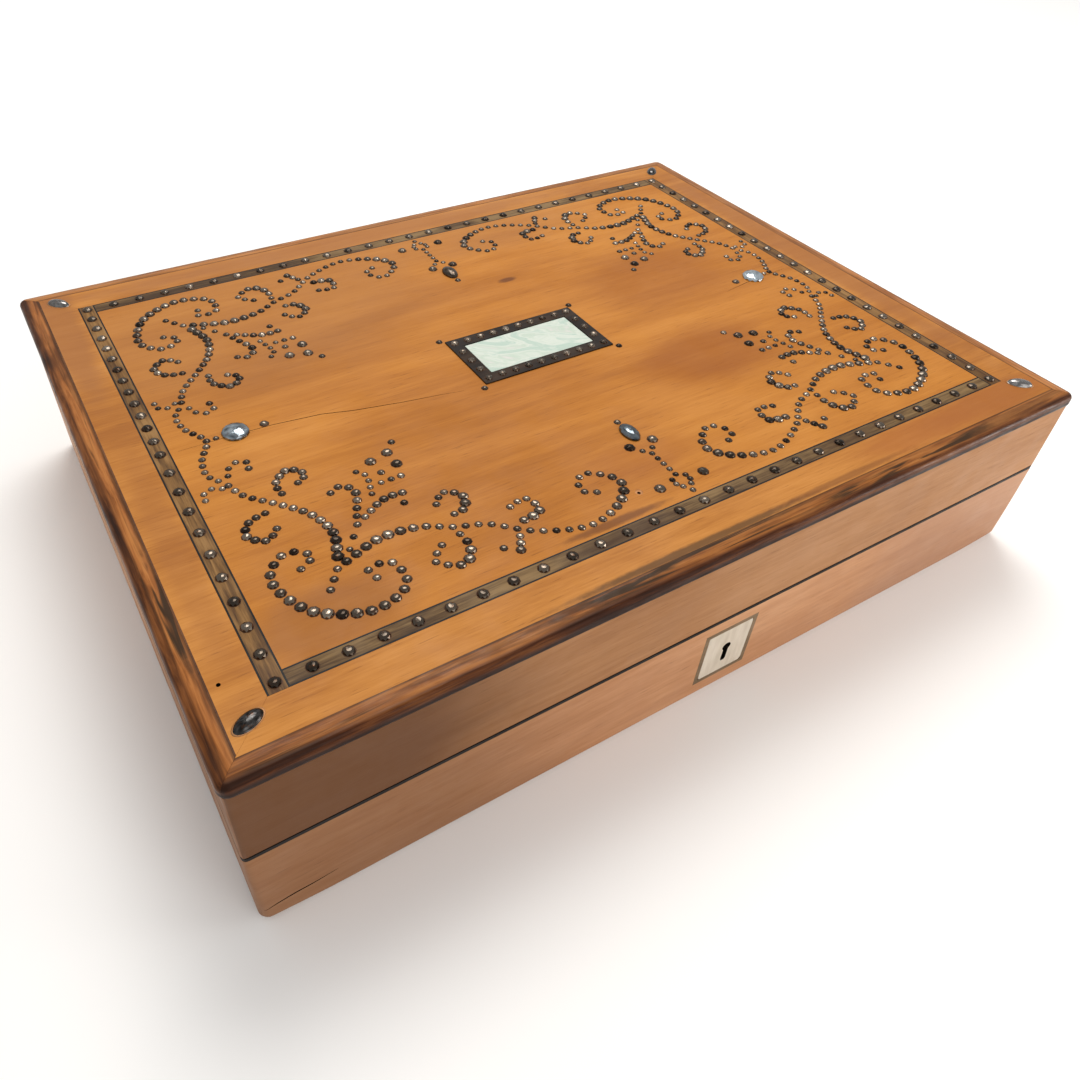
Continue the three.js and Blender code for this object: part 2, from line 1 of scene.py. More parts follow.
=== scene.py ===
# %% [markdown]
# A games box with cut-steel studs
#
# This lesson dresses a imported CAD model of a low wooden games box: a veneered box with a hinged lid, a
# dark moulding round the lid, and several hundred small steel studs set in scrolls round a plaque of
# mother-of-pearl. The frame gives every piece its real size and place in metres. Each cell makes one
# kind of piece or one finish, and each shape is a formula worked out with numpy.

import math

import bmesh
import bpy
import numpy as np
from mathutils import Matrix, Vector


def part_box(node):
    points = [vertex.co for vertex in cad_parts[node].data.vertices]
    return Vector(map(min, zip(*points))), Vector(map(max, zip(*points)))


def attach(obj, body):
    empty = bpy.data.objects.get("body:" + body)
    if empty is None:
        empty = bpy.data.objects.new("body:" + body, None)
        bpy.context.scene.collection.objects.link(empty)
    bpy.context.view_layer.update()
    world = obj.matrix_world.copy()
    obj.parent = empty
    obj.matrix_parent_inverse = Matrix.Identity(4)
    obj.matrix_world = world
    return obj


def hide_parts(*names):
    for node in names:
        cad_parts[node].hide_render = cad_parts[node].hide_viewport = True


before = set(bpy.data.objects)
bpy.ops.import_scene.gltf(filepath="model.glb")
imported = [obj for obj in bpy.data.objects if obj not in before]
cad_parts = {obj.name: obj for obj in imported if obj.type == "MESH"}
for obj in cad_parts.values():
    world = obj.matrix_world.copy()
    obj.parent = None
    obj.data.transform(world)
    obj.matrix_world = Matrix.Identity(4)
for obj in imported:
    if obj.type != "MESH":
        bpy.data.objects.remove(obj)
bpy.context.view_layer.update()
MM = 0.001

# %% [markdown]
# The main sizes are read from the frame, not typed again, so the looks stay on the solids. A node's box
# gives its lowest and highest corner.

# %% Sizes from the frame
SIDES = ("front", "right", "back", "left")


def low(node):
    """Lowest corner of a CAD node, in metres."""
    return np.array(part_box(node)[0])


def high(node):
    """Highest corner of a CAD node, in metres."""
    return np.array(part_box(node)[1])


def extent(node):
    """Length along x, y and z of a CAD node, in metres."""
    return high(node) - low(node)


half_width, half_depth, bottom_thickness = high("base_bottom_board")
wall_top = low("base_edging_left")[2]
lid_bottom = low("lid_left_rail")[2]
moulding_bottom = low("lid_moulding_front")[2]
lid_top = high("crossband_front")[2]
board_top = low("crossband_front")[2]
wall = high("base_left_wall")[0] + half_width  # its thickness
field_x, field_y = high("field_panel")[:2]
strip_width = high("studded_strip_right")[0] - field_x
strip_x, strip_y = field_x + strip_width, field_y + strip_width
band_x, band_y = high("crossband_back")[:2]
nose_x, nose_y = high("lid_moulding_right")[0], high("lid_moulding_back")[1]
print("box over its sides, mm:", round(2 * half_width / MM, 1), "by", round(2 * half_depth / MM, 1),
      "lid top at", round(lid_top / MM, 1))

# %% [markdown]
# The camera is part of the likeness. Its place and direction were worked out once from the box's
# corners in the photograph, and its shift stands for the photograph's off-centre crop.

# %% Camera
PHOTO_SIDE = 1080
camera_place = Vector((-155.5, -221.2, 237.7)) * MM
view_direction = Vector((0.39944, 0.62098, -0.67441)).normalized()
view_up = Vector((0.32421, 0.59242, 0.73751))
focal_pixels = 884.7
centre_pixel = (490.5, 502.0)

camera_data = bpy.data.cameras.new("camera")
camera_data.sensor_width = 36
camera_data.lens = focal_pixels / PHOTO_SIDE * camera_data.sensor_width
camera_data.shift_x = (PHOTO_SIDE / 2 - centre_pixel[0]) / PHOTO_SIDE
camera_data.shift_y = (centre_pixel[1] - PHOTO_SIDE / 2) / PHOTO_SIDE
camera_data.clip_start = 0.01
camera = bpy.data.objects.new("camera", camera_data)
bpy.context.scene.collection.objects.link(camera)
right = view_direction.cross(view_up).normalized()
up = right.cross(view_direction)
turn = Matrix((right, up, -view_direction)).transposed()
camera.matrix_world = Matrix.Translation(camera_place) @ turn.to_4x4()
bpy.context.scene.camera = camera
print("lens", round(camera_data.lens, 2), "mm")

# %% [markdown]
# Materials are trees of nodes. A few short helpers keep them readable: one adds a node with its inputs,
# another starts a material. A colour is written as a person reads it on a screen, and turned into the
# linear values that a renderer works in.

# %% Helpers for materials


def colour(red, green, blue):
    """Screen colour from 0 to 255 as linear RGBA: c/12.92 below 0.04, else ((c+0.055)/1.055)^2.4."""
    c = np.array([red, green, blue]) / 255
    linear = np.where(c < 0.04045, c / 12.92, ((c + 0.055) / 1.055) ** 2.4)
    return (*linear.tolist(), 1.0)


def node(tree, kind, inputs=None, **settings):
    """A new node of that kind. An input is a value, or the output socket to link it to."""
    made = tree.nodes.new("ShaderNode" + kind)
    for key, value in settings.items():
        setattr(made, key, value)
    for key, value in (inputs or {}).items():
        if isinstance(value, bpy.types.NodeSocket):
            tree.links.new(value, made.inputs[key])
        else:
            made.inputs[key].default_value = value
    return made


def start_material(name, roughness, metallic=0.0, coat=0.0, coat_roughness=0.1, specular=0.5):
    """A material with plain values on its shader, and its tree and shader to build on."""
    made = bpy.data.materials.new(name)
    made.use_nodes = True
    shader = made.node_tree.nodes["Principled BSDF"]
    shader.inputs["Roughness"].default_value = roughness
    shader.inputs["Metallic"].default_value = metallic
    shader.inputs["Coat Weight"].default_value = coat
    shader.inputs["Coat Roughness"].default_value = coat_roughness
    shader.inputs["Specular IOR Level"].default_value = specular
    return made, made.node_tree, shader


def ramp(tree, factor, stops):
    """A colour ramp through (position, colour) stops."""
    made = node(tree, "ValToRGB", {"Fac": factor})
    elements = made.color_ramp.elements
    while len(elements) < len(stops):
        elements.new(0.5)
    for element, (position, shade) in zip(elements, stops):
        element.position = position
        element.color = shade
    return made.outputs["Color"]


def even_ramp(tree, factor, shades):
    """A ramp through screen colours at equal steps."""
    last = len(shades) - 1
    return ramp(tree, factor, [(i / last, colour(*shade)) for i, shade in enumerate(shades)])


def millimetres(tree, stretch=(1, 1, 1), turn=(0, 0, 0), shift=(0, 0, 0)):
    """Object coordinates in millimetres, divided by stretch, so a pattern gets longer that way.

    shift moves the pattern on to another part of the noise.
    """
    at = node(tree, "TexCoord").outputs["Object"]
    moved = node(tree, "Mapping", {"Vector": at, "Scale": (1 / MM,) * 3, "Rotation": turn,
                                   "Location": shift})
    return node(tree, "VectorMath", {0: moved.outputs["Vector"], 1: [1 / s for s in stretch]},
                operation="MULTIPLY").outputs["Vector"]


def noise(tree, vector, size, detail=2.0, roughness=0.5, distortion=0.0):
    """Noise whose blobs are about size millimetres wide."""
    return node(tree, "TexNoise", {"Vector": vector, "Scale": 1 / size, "Detail": detail,
                                   "Roughness": roughness, "Distortion": distortion}).outputs["Fac"]


def mixed(tree, factor, first, second):
    """Two colours mixed by a factor."""
    made = node(tree, "Mix", {"Factor": factor}, data_type="RGBA")
    for key, value in ((6, first), (7, second)):
        if isinstance(value, bpy.types.NodeSocket):
            tree.links.new(value, made.inputs[key])
        else:
            made.inputs[key].default_value = value
    return made.outputs[2]


def maths(tree, operation, first, second):
    """One arithmetic node."""
    return node(tree, "Math", {0: first, 1: second}, operation=operation).outputs["Value"]


def weighted(tree, parts):
    """The sum of value times weight over (value, weight) pairs."""
    total = 0.0
    for value, weight in parts:
        total = maths(tree, "ADD", maths(tree, "MULTIPLY", value, weight), total)
    return total


def steps(tree, value, start, end, low_value=0.0, high_value=1.0):
    """Maps start..end onto low_value..high_value, smoothly and clamped."""
    return node(tree, "MapRange", {"Value": value, "From Min": start, "From Max": end,
                                   "To Min": low_value, "To Max": high_value},
                interpolation_type="SMOOTHSTEP").outputs["Result"]


def bump(tree, shader, height, distance):
    """Height in 0..1 as a bump of that many millimetres."""
    made = node(tree, "Bump", {"Height": height, "Distance": distance * MM, "Strength": 1.0})
    tree.links.new(made.outputs["Normal"], shader.inputs["Normal"])


def spot(tree, middle, half_size, ragged=0.5, softness=0.6):
    """1 in an ellipse round a place given in x and y, 0 outside it, with a ragged outline.

    The distance is the length of (place - middle) / half_size, and a noise is added to it. It falls from
    1 to 0 between the distances 1 - softness and 1.
    """
    at = node(tree, "TexCoord").outputs["Object"]
    scale = (1 / (half_size[0] * MM), 1 / (half_size[1] * MM), 0)
    shift = (-middle[0] / half_size[0], -middle[1] / half_size[1], 0)
    moved = node(tree, "Mapping", {"Vector": at, "Scale": scale, "Location": shift}).outputs["Vector"]
    away = node(tree, "VectorMath", {0: moved}, operation="LENGTH").outputs["Value"]
    edge = noise(tree, millimetres(tree, (3, 1, 1)), min(half_size) * 0.6, 3, 0.6)
    distance = weighted(tree, [(away, 1.0), (edge, ragged), (1.0, -ragged / 2)])
    return steps(tree, distance, 1.0, 1.0 - softness)


print("mid grey as linear light:", round(colour(128, 128, 128)[0], 3))

# %% [markdown]
# Polished veneer has three scales at once: broad clouds where the tone of the log changes, streaks that
# run with the grain, and fine short fibres. Each is a noise pulled long in the grain's direction, and
# the three are added before one ramp turns them into colour. The polish is thin and old, so the coat is
# nearly gone. Dark pores show where the fibres' noise is lowest. Stains are ellipses with ragged edges,
# laid over the wood at their own places in millimetres.

# %% Wood
WOOD_SPREAD = 0.16  # how far from the middle the tone reaches the palest and darkest shade
PORE_STRENGTH = 0.4
PORE_SHADE = 0.62  # of the darkest shade


def stretched(grain, factor):
    """Stretch of a pattern along the grain's direction."""
    return tuple((1 + np.array(grain, float) * (factor - 1)).tolist())


def wood(name, shades, grain=(1, 0, 0), cloud=55.0, streak=5.0, contrast=1.0, roughness=0.5,
         coat=0.0, specular=0.16, shift=(0, 0, 0), stains=()):
    """Polished wood. shades run from dark to light, cloud and streak are widths in millimetres.

    A higher contrast narrows the spread of tones that the shades cover. shift moves the pattern, so that
    two woods don't match. stains are (middle, half size, colour, strength).
    """
    made, tree, shader = start_material(name, roughness, coat=coat, coat_roughness=0.2,
                                        specular=specular)
    clouds = noise(tree, millimetres(tree, stretched(grain, 2.0), shift=shift), cloud, 3, 0.55, 0.5)
    streaks = noise(tree, millimetres(tree, stretched(grain, 12), shift=shift), streak, 4, 0.62, 0.35)
    fibres = noise(tree, millimetres(tree, stretched(grain, 18), shift=shift), 0.45, 3, 0.6)
    tone = weighted(tree, [(clouds, 0.50), (streaks, 0.33), (fibres, 0.17)])
    spread = WOOD_SPREAD / contrast
    base = even_ramp(tree, steps(tree, tone, 0.5 - spread, 0.5 + spread), shades)
    pores = maths(tree, "MULTIPLY", steps(tree, fibres, 0.36, 0.27), PORE_STRENGTH)
    base = mixed(tree, pores, base, colour(*[c * PORE_SHADE for c in shades[0]]))
    for middle, half_size, shade, strength in stains:
        here = maths(tree, "MULTIPLY", spot(tree, middle, half_size), strength)
        base = mixed(tree, here, base, colour(*shade))
    tree.links.new(base, shader.inputs["Base Color"])
    polish = noise(tree, millimetres(tree), 16, 3, 0.6)
    tree.links.new(steps(tree, polish, 0.3, 0.7, roughness - 0.08, roughness + 0.1),
                   shader.inputs["Roughness"])
    bump(tree, shader, weighted(tree, [(streaks, 0.6), (fibres, 0.4)]), 0.04)
    return made


print("stretch of streaks along x:", stretched((1, 0, 0), 12))

# %% [markdown]
# The lid's field and the band round it are the same honey veneer, laid with the grain from left to
# right. Age has left darker and redder clouds on it, a small dark knot behind the plaque and a run of
# old polish along the front edge.

# %% Veneers of the lid
HONEY = [(156, 92, 27), (175, 108, 36), (190, 122, 46), (204, 137, 60)]
field_stains = [
    ((17.5, 43.3), (5.0, 2.2), (96, 50, 22), 0.8),
    ((-28, -88.6), (24, 2.0), (104, 58, 26), 0.75),
    ((54, -34), (38, 22), (140, 72, 18), 0.55),
    ((-5, -70), (26, 10), (148, 80, 32), 0.3),
    ((72, 20), (40, 30), (150, 84, 30), 0.4),
    ((-85, 60), (100, 60), (164, 110, 62), 0.45),
    ((20, 84), (90, 24), (168, 112, 62), 0.4),
    ((-112, -82), (30, 16), (148, 90, 38), 0.7),
]
field_wood = wood("honey_veneer", HONEY, cloud=60, streak=7, contrast=0.7, stains=field_stains)
band_stains = [
    ((-14, -107), (60, 1.8), (84, 58, 32), 0.8),
    ((44, -106.5), (40, 1.6), (116, 66, 28), 0.6),
    ((82, -102), (34, 8), (160, 92, 38), 0.65),
    ((-138, -40), (6, 60), (152, 92, 44), 0.3),
    ((118, -102), (46, 9), (160, 94, 40), 0.75),
    ((140, 10), (9, 120), (158, 100, 52), 0.75),
    ((-20, 103), (150, 9), (160, 104, 60), 0.7),
    ((-140, 80), (9, 60), (154, 98, 54), 0.7),
]
band_wood = wood("crossband_veneer", [(156, 94, 36), (174, 110, 44), (190, 125, 55), (203, 138, 68)],
                 cloud=40, streak=5, contrast=0.85, shift=(300, 40, 0), stains=band_stains)
print("stains on the lid:", len(field_stains) + len(band_stains))

# %% [markdown]
# The sides are a pinker, plainer wood. The front left corner is painted darker, as painted shade, and the
# base is painted lighter than the lid, as painted bounce light from the floor, and a little greyer towards
# the right, as a painted sheen. The short sides have their grain along their own length.

# %% Veneers of the sides
# painted shade: the left end of the lid's and the base's front is painted darker, for the shade that falls
# there
LID_LEFT_PAINTED_SHADE = ((-150, -114), (98, 60), (88, 52, 26), 0.85)
BASE_LEFT_PAINTED_SHADE = ((-150, -114), (110, 60), (96, 58, 30), 0.55)
# painted sheen: the base's front is painted greyer and pinker towards the right, for reflected light there
BASE_RIGHT_PAINTED_SHEEN = ((130, -114), (80, 60), (158, 124, 106), 0.4)


def side_veneers(name, shades, stains):
    """One veneer for the long sides, with the stains, and one with its grain turned for the short ones."""
    long = wood(name, shades, cloud=80, streak=2.6, contrast=0.6, stains=stains)
    # painted shade: the short sides' stain darkens the front half of the left side, going on from the front's
    # left end
    short = wood(name + "_turned", shades, grain=(0, 1, 0), cloud=80, streak=2.6, contrast=0.6,
                 stains=[((-150, -130), (60, 130), (104, 64, 36), 0.6)])
    return {"front": long, "back": long, "left": short, "right": short}


lid_veneers = side_veneers("lid_side_veneer",
                           [(140, 93, 56), (158, 110, 70), (172, 124, 83), (186, 138, 98)],
                           [LID_LEFT_PAINTED_SHADE])
# painted light: the base's veneer is lighter than the lid's, for the floor's bounce light that reaches the
# base more than the lid
base_veneers = side_veneers("base_side_veneer",
                            [(164, 113, 75), (182, 130, 91), (196, 145, 105), (208, 158, 121)],
                            [BASE_LEFT_PAINTED_SHADE, BASE_RIGHT_PAINTED_SHEEN])
print("side veneers:", len({veneer.name for veneer in (*lid_veneers.values(), *base_veneers.values())}))

# %% [markdown]
# The strips are a grey-brown wood between black lines, and the plaque's frame and the edging are dyed
# nearly black. Inside, the box is bare planed wood. Three small finishes are dirt, wear and painted shade:
# black dirt in the holes, brown polish with painted contact shadow round the foot of each stud, and wood
# rubbed pale.

# %% Dark woods, plain wood and dirt
strip_stains = [((-30, -93.7), (26, 3.4), (62, 40, 24), 0.7), ((60, -93.7), (18, 3), (80, 56, 34), 0.5)]
strip_wood = wood("strip_wood", [(66, 46, 26), (92, 68, 40), (116, 90, 56), (136, 108, 70)], cloud=22,
                  streak=1.3, contrast=1.3, stains=strip_stains)
strip_side_wood = wood("strip_wood_sides", [(74, 46, 24), (102, 72, 38), (128, 92, 50), (150, 112, 66)],
                       grain=(0, 1, 0), cloud=22, streak=1.3, contrast=1.3)
black_wood = wood("ebonised_wood", [(10, 7, 5), (18, 13, 10), (28, 21, 16)], cloud=20, streak=2,
                  roughness=0.55, coat=0.03, specular=0.2)
line_wood = wood("line_wood", [(74, 44, 24), (92, 57, 32), (110, 70, 40)], cloud=20, streak=2, coat=0.03)
border_wood = wood("border_wood", [(96, 76, 56), (114, 94, 70), (132, 110, 84)], cloud=12, streak=1.2)
frame_wood = wood("frame_wood", [(20, 12, 7), (36, 24, 15), (56, 39, 25)], cloud=14, streak=1.4,
                  contrast=1.2)
plain_wood = wood("plain_wood", [(140, 100, 60), (164, 122, 78), (182, 142, 98)], cloud=60, streak=6,
                  contrast=0.8, roughness=0.62)
rubbed_wood = wood("rubbed_wood", [(176, 116, 66), (194, 136, 86), (208, 152, 104)], cloud=8,
                   streak=1.0)
dirt = wood("old_dirt", [(8, 5, 3), (14, 9, 6), (24, 15, 9)], cloud=3, streak=0.8, roughness=0.8,
            specular=0.1)
# polish and painted shade: dark skirts round the studs' feet, as painted contact shadow, and the walls of the
# lost stud's pin hole
grime_and_shade = wood("polish_and_shade_in_the_seats", [(48, 26, 12), (66, 38, 18), (86, 52, 26)], cloud=5, streak=1)
print("woods so far:", len(bpy.data.materials))

# %% [markdown]
# The moulding changes across its width: worn and mid brown on its top, dark and red where the hand
# doesn't reach, and painted darker still under the nose as painted shade. Each of its meshes carries a
# number, zone, that runs from 0 at the veneer to 1 under the nose. The material mixes two ramps by it, and
# lays smoky olive streaks over the top.

# %% Moulding wood


def moulding_wood(name, top_shades, nose_shades, edge, smoke, grain, smoky=()):
    """Two ramps over one streaky tone, mixed by the zone, with smoke as the share of olive streaks.

    edge is the zone in which the dark nose begins. smoky holds (middle, half size) of ellipses in which
    the smoke is at its full strength. Old polish darkens the joint with the veneer. The lower nose and the
    underside are painted darker still, as painted shade.
    """
    made, tree, shader = start_material(name, 0.34, specular=0.13)
    zone = node(tree, "Attribute", attribute_name="zone").outputs["Fac"]
    streaks = noise(tree, millimetres(tree, stretched(grain, 16)), 1.5, 4, 0.65, 0.4)
    clouds = noise(tree, millimetres(tree, stretched(grain, 4)), 12, 3, 0.6, 0.4)
    tone = steps(tree, weighted(tree, [(streaks, 0.55), (clouds, 0.45)]), 0.36, 0.64)
    top = even_ramp(tree, tone, top_shades)
    drift = noise(tree, millimetres(tree, stretched(grain, 22), shift=(90, 30, 0)), 2.2, 3, 0.6, 0.6)
    share = smoke
    for middle, half_size in smoky:
        share = maths(tree, "MAXIMUM", spot(tree, middle, half_size), share)
    top = mixed(tree, maths(tree, "MULTIPLY", steps(tree, drift, 0.46, 0.58), share), top,
                colour(60, 40, 22))
    nose = even_ramp(tree, tone, nose_shades)
    where = weighted(tree, [(zone, 1.0), (streaks, 0.12), (1.0, -0.06)])
    base = mixed(tree, steps(tree, where, edge, edge + 0.12), top, nose)
    # painted shade: the lower nose and the tuck under it are painted near black-brown, for the shade under
    # the nose
    underside = steps(tree, where, 0.68, 0.86)
    base = mixed(tree, underside, base, colour(36, 15, 5))
    veneer_joint = steps(tree, zone, 0.02, 0.08, 0.65, 0.0)
    base = mixed(tree, veneer_joint, base, colour(62, 38, 16))
    tree.links.new(base, shader.inputs["Base Color"])
    polish = noise(tree, millimetres(tree, stretched(grain, 3)), 2.5, 3, 0.6)
    tree.links.new(steps(tree, polish, 0.3, 0.7, 0.28, 0.5), shader.inputs["Roughness"])
    bump(tree, shader, streaks, 0.07)
    return made


HIDDEN_NOSE = [(46, 22, 9), (66, 34, 14), (90, 48, 22), (112, 64, 32)]  # on the back and the right
moulding_woods = {
    "front": moulding_wood("moulding_front_wood",
                           [(104, 58, 24), (130, 76, 33), (150, 92, 42), (168, 108, 54)],
                           [(42, 19, 6), (64, 31, 11), (88, 47, 19), (112, 66, 30)],
                           edge=0.38, smoke=0.4, grain=(1, 0, 0),
                           smoky=[((-20, -110), (60, 4)), ((-128, -110), (28, 5)), ((70, -111), (60, 5))]),
    "left": moulding_wood("moulding_left_wood",
                          [(96, 54, 24), (132, 78, 36), (160, 98, 48), (180, 116, 60)],
                          [(44, 21, 8), (74, 39, 15), (102, 58, 25), (130, 78, 38)],
                          edge=0.3, smoke=0.35, grain=(0, 1, 0),
                          smoky=[((-147, 10), (7, 26)), ((-146, -60), (5, 30))]),
    "back": moulding_wood("moulding_back_wood",
                          [(140, 84, 36), (160, 100, 48), (176, 114, 58), (188, 126, 70)],
                          HIDDEN_NOSE, edge=0.42, smoke=0.25, grain=(1, 0, 0)),
    "right": moulding_wood("moulding_right_wood",
                           [(134, 78, 34), (152, 94, 44), (170, 108, 54), (184, 122, 68)],
                           HIDDEN_NOSE, edge=0.42, smoke=0.3, grain=(0, 1, 0)),
}
print("moulding finishes:", len(moulding_woods))

# %% [markdown]
# Cut steel is bright metal gone dark with age. Each stud gets its own tone through an attribute on the
# mesh, so some are nearly black and a few still flash. Brass and bone are quieter: a little noise in
# colour and roughness is enough at their size.

# %% Metal, bone and shell


def steel(name, dark, light, roughness):
    """Tarnished steel: a tone per stud from the attribute, and faint clouds of rust."""
    made, tree, shader = start_material(name, roughness, metallic=1.0)
    tone = node(tree, "Attribute", attribute_name="tone").outputs["Fac"]
    base = mixed(tree, tone, colour(*dark), colour(*light))
    rust = steps(tree, noise(tree, millimetres(tree), 1.2, 3, 0.6), 0.52, 0.70)
    base = mixed(tree, maths(tree, "MULTIPLY", rust, 0.45), base, colour(96, 62, 40))
    tree.links.new(base, shader.inputs["Base Color"])
    smear = noise(tree, millimetres(tree), 0.8, 2, 0.5)
    tree.links.new(steps(tree, smear, 0.3, 0.7, roughness * 0.7, roughness * 1.4),
                   shader.inputs["Roughness"])
    return made


stud_steel = steel("cut_steel", (44, 38, 33), (160, 147, 132), 0.2)
jewel_steel = steel("bright_steel", (48, 58, 64), (206, 218, 226), 0.15)
black_steel = steel("black_steel", (14, 12, 11), (170, 168, 166), 0.22)


def old_brass(name):
    """Dull brass with darker clouds."""
    made, tree, shader = start_material(name, 0.4, metallic=1.0)
    clouds = noise(tree, millimetres(tree), 4, 4, 0.6)
    tree.links.new(ramp(tree, clouds, [(0.3, colour(120, 92, 48)), (0.7, colour(176, 142, 82))]),
                   shader.inputs["Base Color"])
    tree.links.new(steps(tree, clouds, 0.3, 0.7, 0.5, 0.3), shader.inputs["Roughness"])
    return made


brass = old_brass("old_brass")


def bone_material(name):
    """Polished bone: warm grey-white with very faint long streaks."""
    made, tree, shader = start_material(name, 0.4, coat=0.1, specular=0.4)
    streaks = noise(tree, millimetres(tree, (1, 1, 6)), 2.4, 4, 0.6)
    tree.links.new(ramp(tree, streaks, [(0.3, colour(192, 178, 158)), (0.7, colour(214, 202, 184))]),
                   shader.inputs["Base Color"])
    bump(tree, shader, streaks, 0.01)
    return made


bone = bone_material("bone")


def shell_material(name):
    """Mother-of-pearl: pale green, grey and a warm white drift into each other in long soft waves."""
    made, tree, shader = start_material(name, 0.3, coat=0.1, specular=0.3)
    waves = noise(tree, millimetres(tree, (2.2, 1, 1), (0, 0, 0.5)), 9, 4, 0.55, 1.4)
    base = ramp(tree, waves, [(0.3, colour(196, 208, 194)), (0.42, colour(180, 200, 186)),
                              (0.5, colour(212, 218, 206)), (0.58, colour(192, 206, 190)),
                              (0.68, colour(216, 212, 206))])
    tree.links.new(base, shader.inputs["Base Color"])
    bump(tree, shader, waves, 0.10)
    return made


shell = shell_material("mother_of_pearl")
print("materials:", len(bpy.data.materials))

# %% [markdown]
# Every piece goes from numpy arrays to a mesh in the same way. The helpers set its material and body in
# one place, so that no piece is left without them. A grid of quads is described by its number of rows and
# columns, and either way round may close on itself.

# %% Helpers for pieces


def grid_faces(rows, columns, close_rows=False, close_columns=False):
    """Quads between neighbours of a grid stored row by row. Closing joins the last line to the first."""
    r = np.arange(rows if close_rows else rows - 1)
    c = np.arange(columns if close_columns else columns - 1)
    r0, c0 = (a.ravel() for a in np.meshgrid(r, c, indexing="ij"))
    r1, c1 = (r0 + 1) % rows, (c0 + 1) % columns
    return np.stack([r0 * columns + c0, r0 * columns + c1, r1 * columns + c1, r1 * columns + c0], 1)


def make_mesh(name, vertices, faces, materials, face_materials=None, smooth=False):
    """A mesh whose faces all point outwards."""
    mesh = bpy.data.meshes.new(name)
    mesh.from_pydata(np.asarray(vertices, float).tolist(), [], [list(map(int, f)) for f in faces])
    for material in materials:
        mesh.materials.append(material)
    if face_materials is not None:
        mesh.polygons.foreach_set("material_index", np.asarray(face_materials, np.int32))
    shape = bmesh.new()
    shape.from_mesh(mesh)
    bmesh.ops.recalc_face_normals(shape, faces=shape.faces)
    shape.to_mesh(mesh)
    shape.free()
    mesh.polygons.foreach_set("use_smooth", np.full(len(mesh.polygons), smooth))
    return mesh


def set_points(mesh, name, values):
    """Stores one number for each vertex of a mesh."""
    attribute = mesh.attributes.new(name, "FLOAT", "POINT")
    attribute.data.foreach_set("value", np.asarray(values, np.float32))


def place(name, mesh, body, replaced=()):
    """Puts a mesh in the scene as a piece that rides on a body and stands for some nodes."""
    piece = bpy.data.objects.new(name, mesh)
    bpy.context.scene.collection.objects.link(piece)
    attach(piece, body)
    if replaced:
        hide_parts(*replaced)
    return piece


def block_mesh(name, corner, opposite, materials):
    """A plain box between two corners."""
    corner, opposite = np.array(corner, float), np.array(opposite, float)
    unit = np.array([[x, y, z] for x in (0, 1) for y in (0, 1) for z in (0, 1)])
    quads = [(0, 1, 3, 2), (4, 6, 7, 5), (0, 4, 5, 1), (2, 3, 7, 6), (0, 2, 6, 4), (1, 5, 7, 3)]
    return make_mesh(name, corner + unit * (opposite - corner), quads, materials)


def soften(piece, width):
    """A live bevel of that many millimetres on sharp edges."""
    bevel = piece.modifiers.new("arris", "BEVEL")
    bevel.width = width * MM
    bevel.segments = 2
    bevel.limit_method = "ANGLE"


def cutter(mesh):
    """An object that is only used to cut."""
    made = bpy.data.objects.new("cutter", mesh)
    bpy.context.scene.collection.objects.link(made)
    return made


def cutter_box(corner, opposite):
    """A box that is only used to cut."""
    return cutter(block_mesh("cutter", corner, opposite, []))


def carve(piece, cutters):
    """Cuts the given shapes out of a piece, with their materials on the walls of the cuts."""
    for shape in cutters:
        change = piece.modifiers.new("cut", "BOOLEAN")
        change.operation = "DIFFERENCE"
        change.object = shape
        change.solver = "EXACT"
        change.material_mode = "TRANSFER"
    bpy.context.view_layer.update()
    evaluated = piece.evaluated_get(bpy.context.evaluated_depsgraph_get())
    carved = bpy.data.meshes.new_from_object(evaluated)
    piece.modifiers.clear()
    piece.data = carved
    for shape in cutters:
        bpy.data.objects.remove(shape)


def crack(line, width, depth, level, upright=False):
    """A cutter along a line of points in millimetres: a narrow V that tapers towards both ends.

    Each point makes a cross-section of three corners: two that stand width above the surface, at
    share width to either side of the line, and one that lies share depth below it. The points lie at
    t = 0..1, and share = sqrt(sin(pi t)). The line holds (x, y) points of the lid, whose surface is at
    z = level, or for an upright crack (x, z) points of the front, whose surface is at y = level.
    """
    p = np.array(line, float) * MM
    t = np.linspace(0, 1, len(p))
    share = np.sqrt(np.sin(np.pi * np.clip(t, 0.04, 0.96)))
    along = np.gradient(p, axis=0)
    across = np.stack([-along[:, 1], along[:, 0]], 1) / np.linalg.norm(along, axis=1, keepdims=True)
    half = across * (share * width * MM)[:, None]
    mouth = np.full(len(p), width * MM)
    corners = [np.c_[p + half, mouth], np.c_[p - half, mouth], np.c_[p, -share * depth * MM]]
    first, second, out = np.stack(corners, 1).reshape(-1, 3).T
    points = [first, level - out, second] if upright else [first, second, level + out]
    faces = grid_faces(len(p), 3, close_columns=True).tolist()
    faces += [[0, 1, 2], [3 * len(p) - 3, 3 * len(p) - 2, 3 * len(p) - 1]]
    return cutter(make_mesh("crack", np.stack(points, 1), faces, [dirt]))


print("quads in a grid of 3 by 4 points:", len(grid_faces(3, 4)))

# %% [markdown]
# Walls, mouldings and bands are all lengths of one section, mitred where they meet. A section is a
# closed outline of (out, z) points, where out is measured outwards from an inner rectangle. Carrying
# it along one side makes a grid: one way round the section, the other way along the length. The mitre
# comes by itself, because a point further out runs further along.

# %% Mitred lengths
DENSE_REACH = 34 * MM  # from a corner to where the stations get wide apart


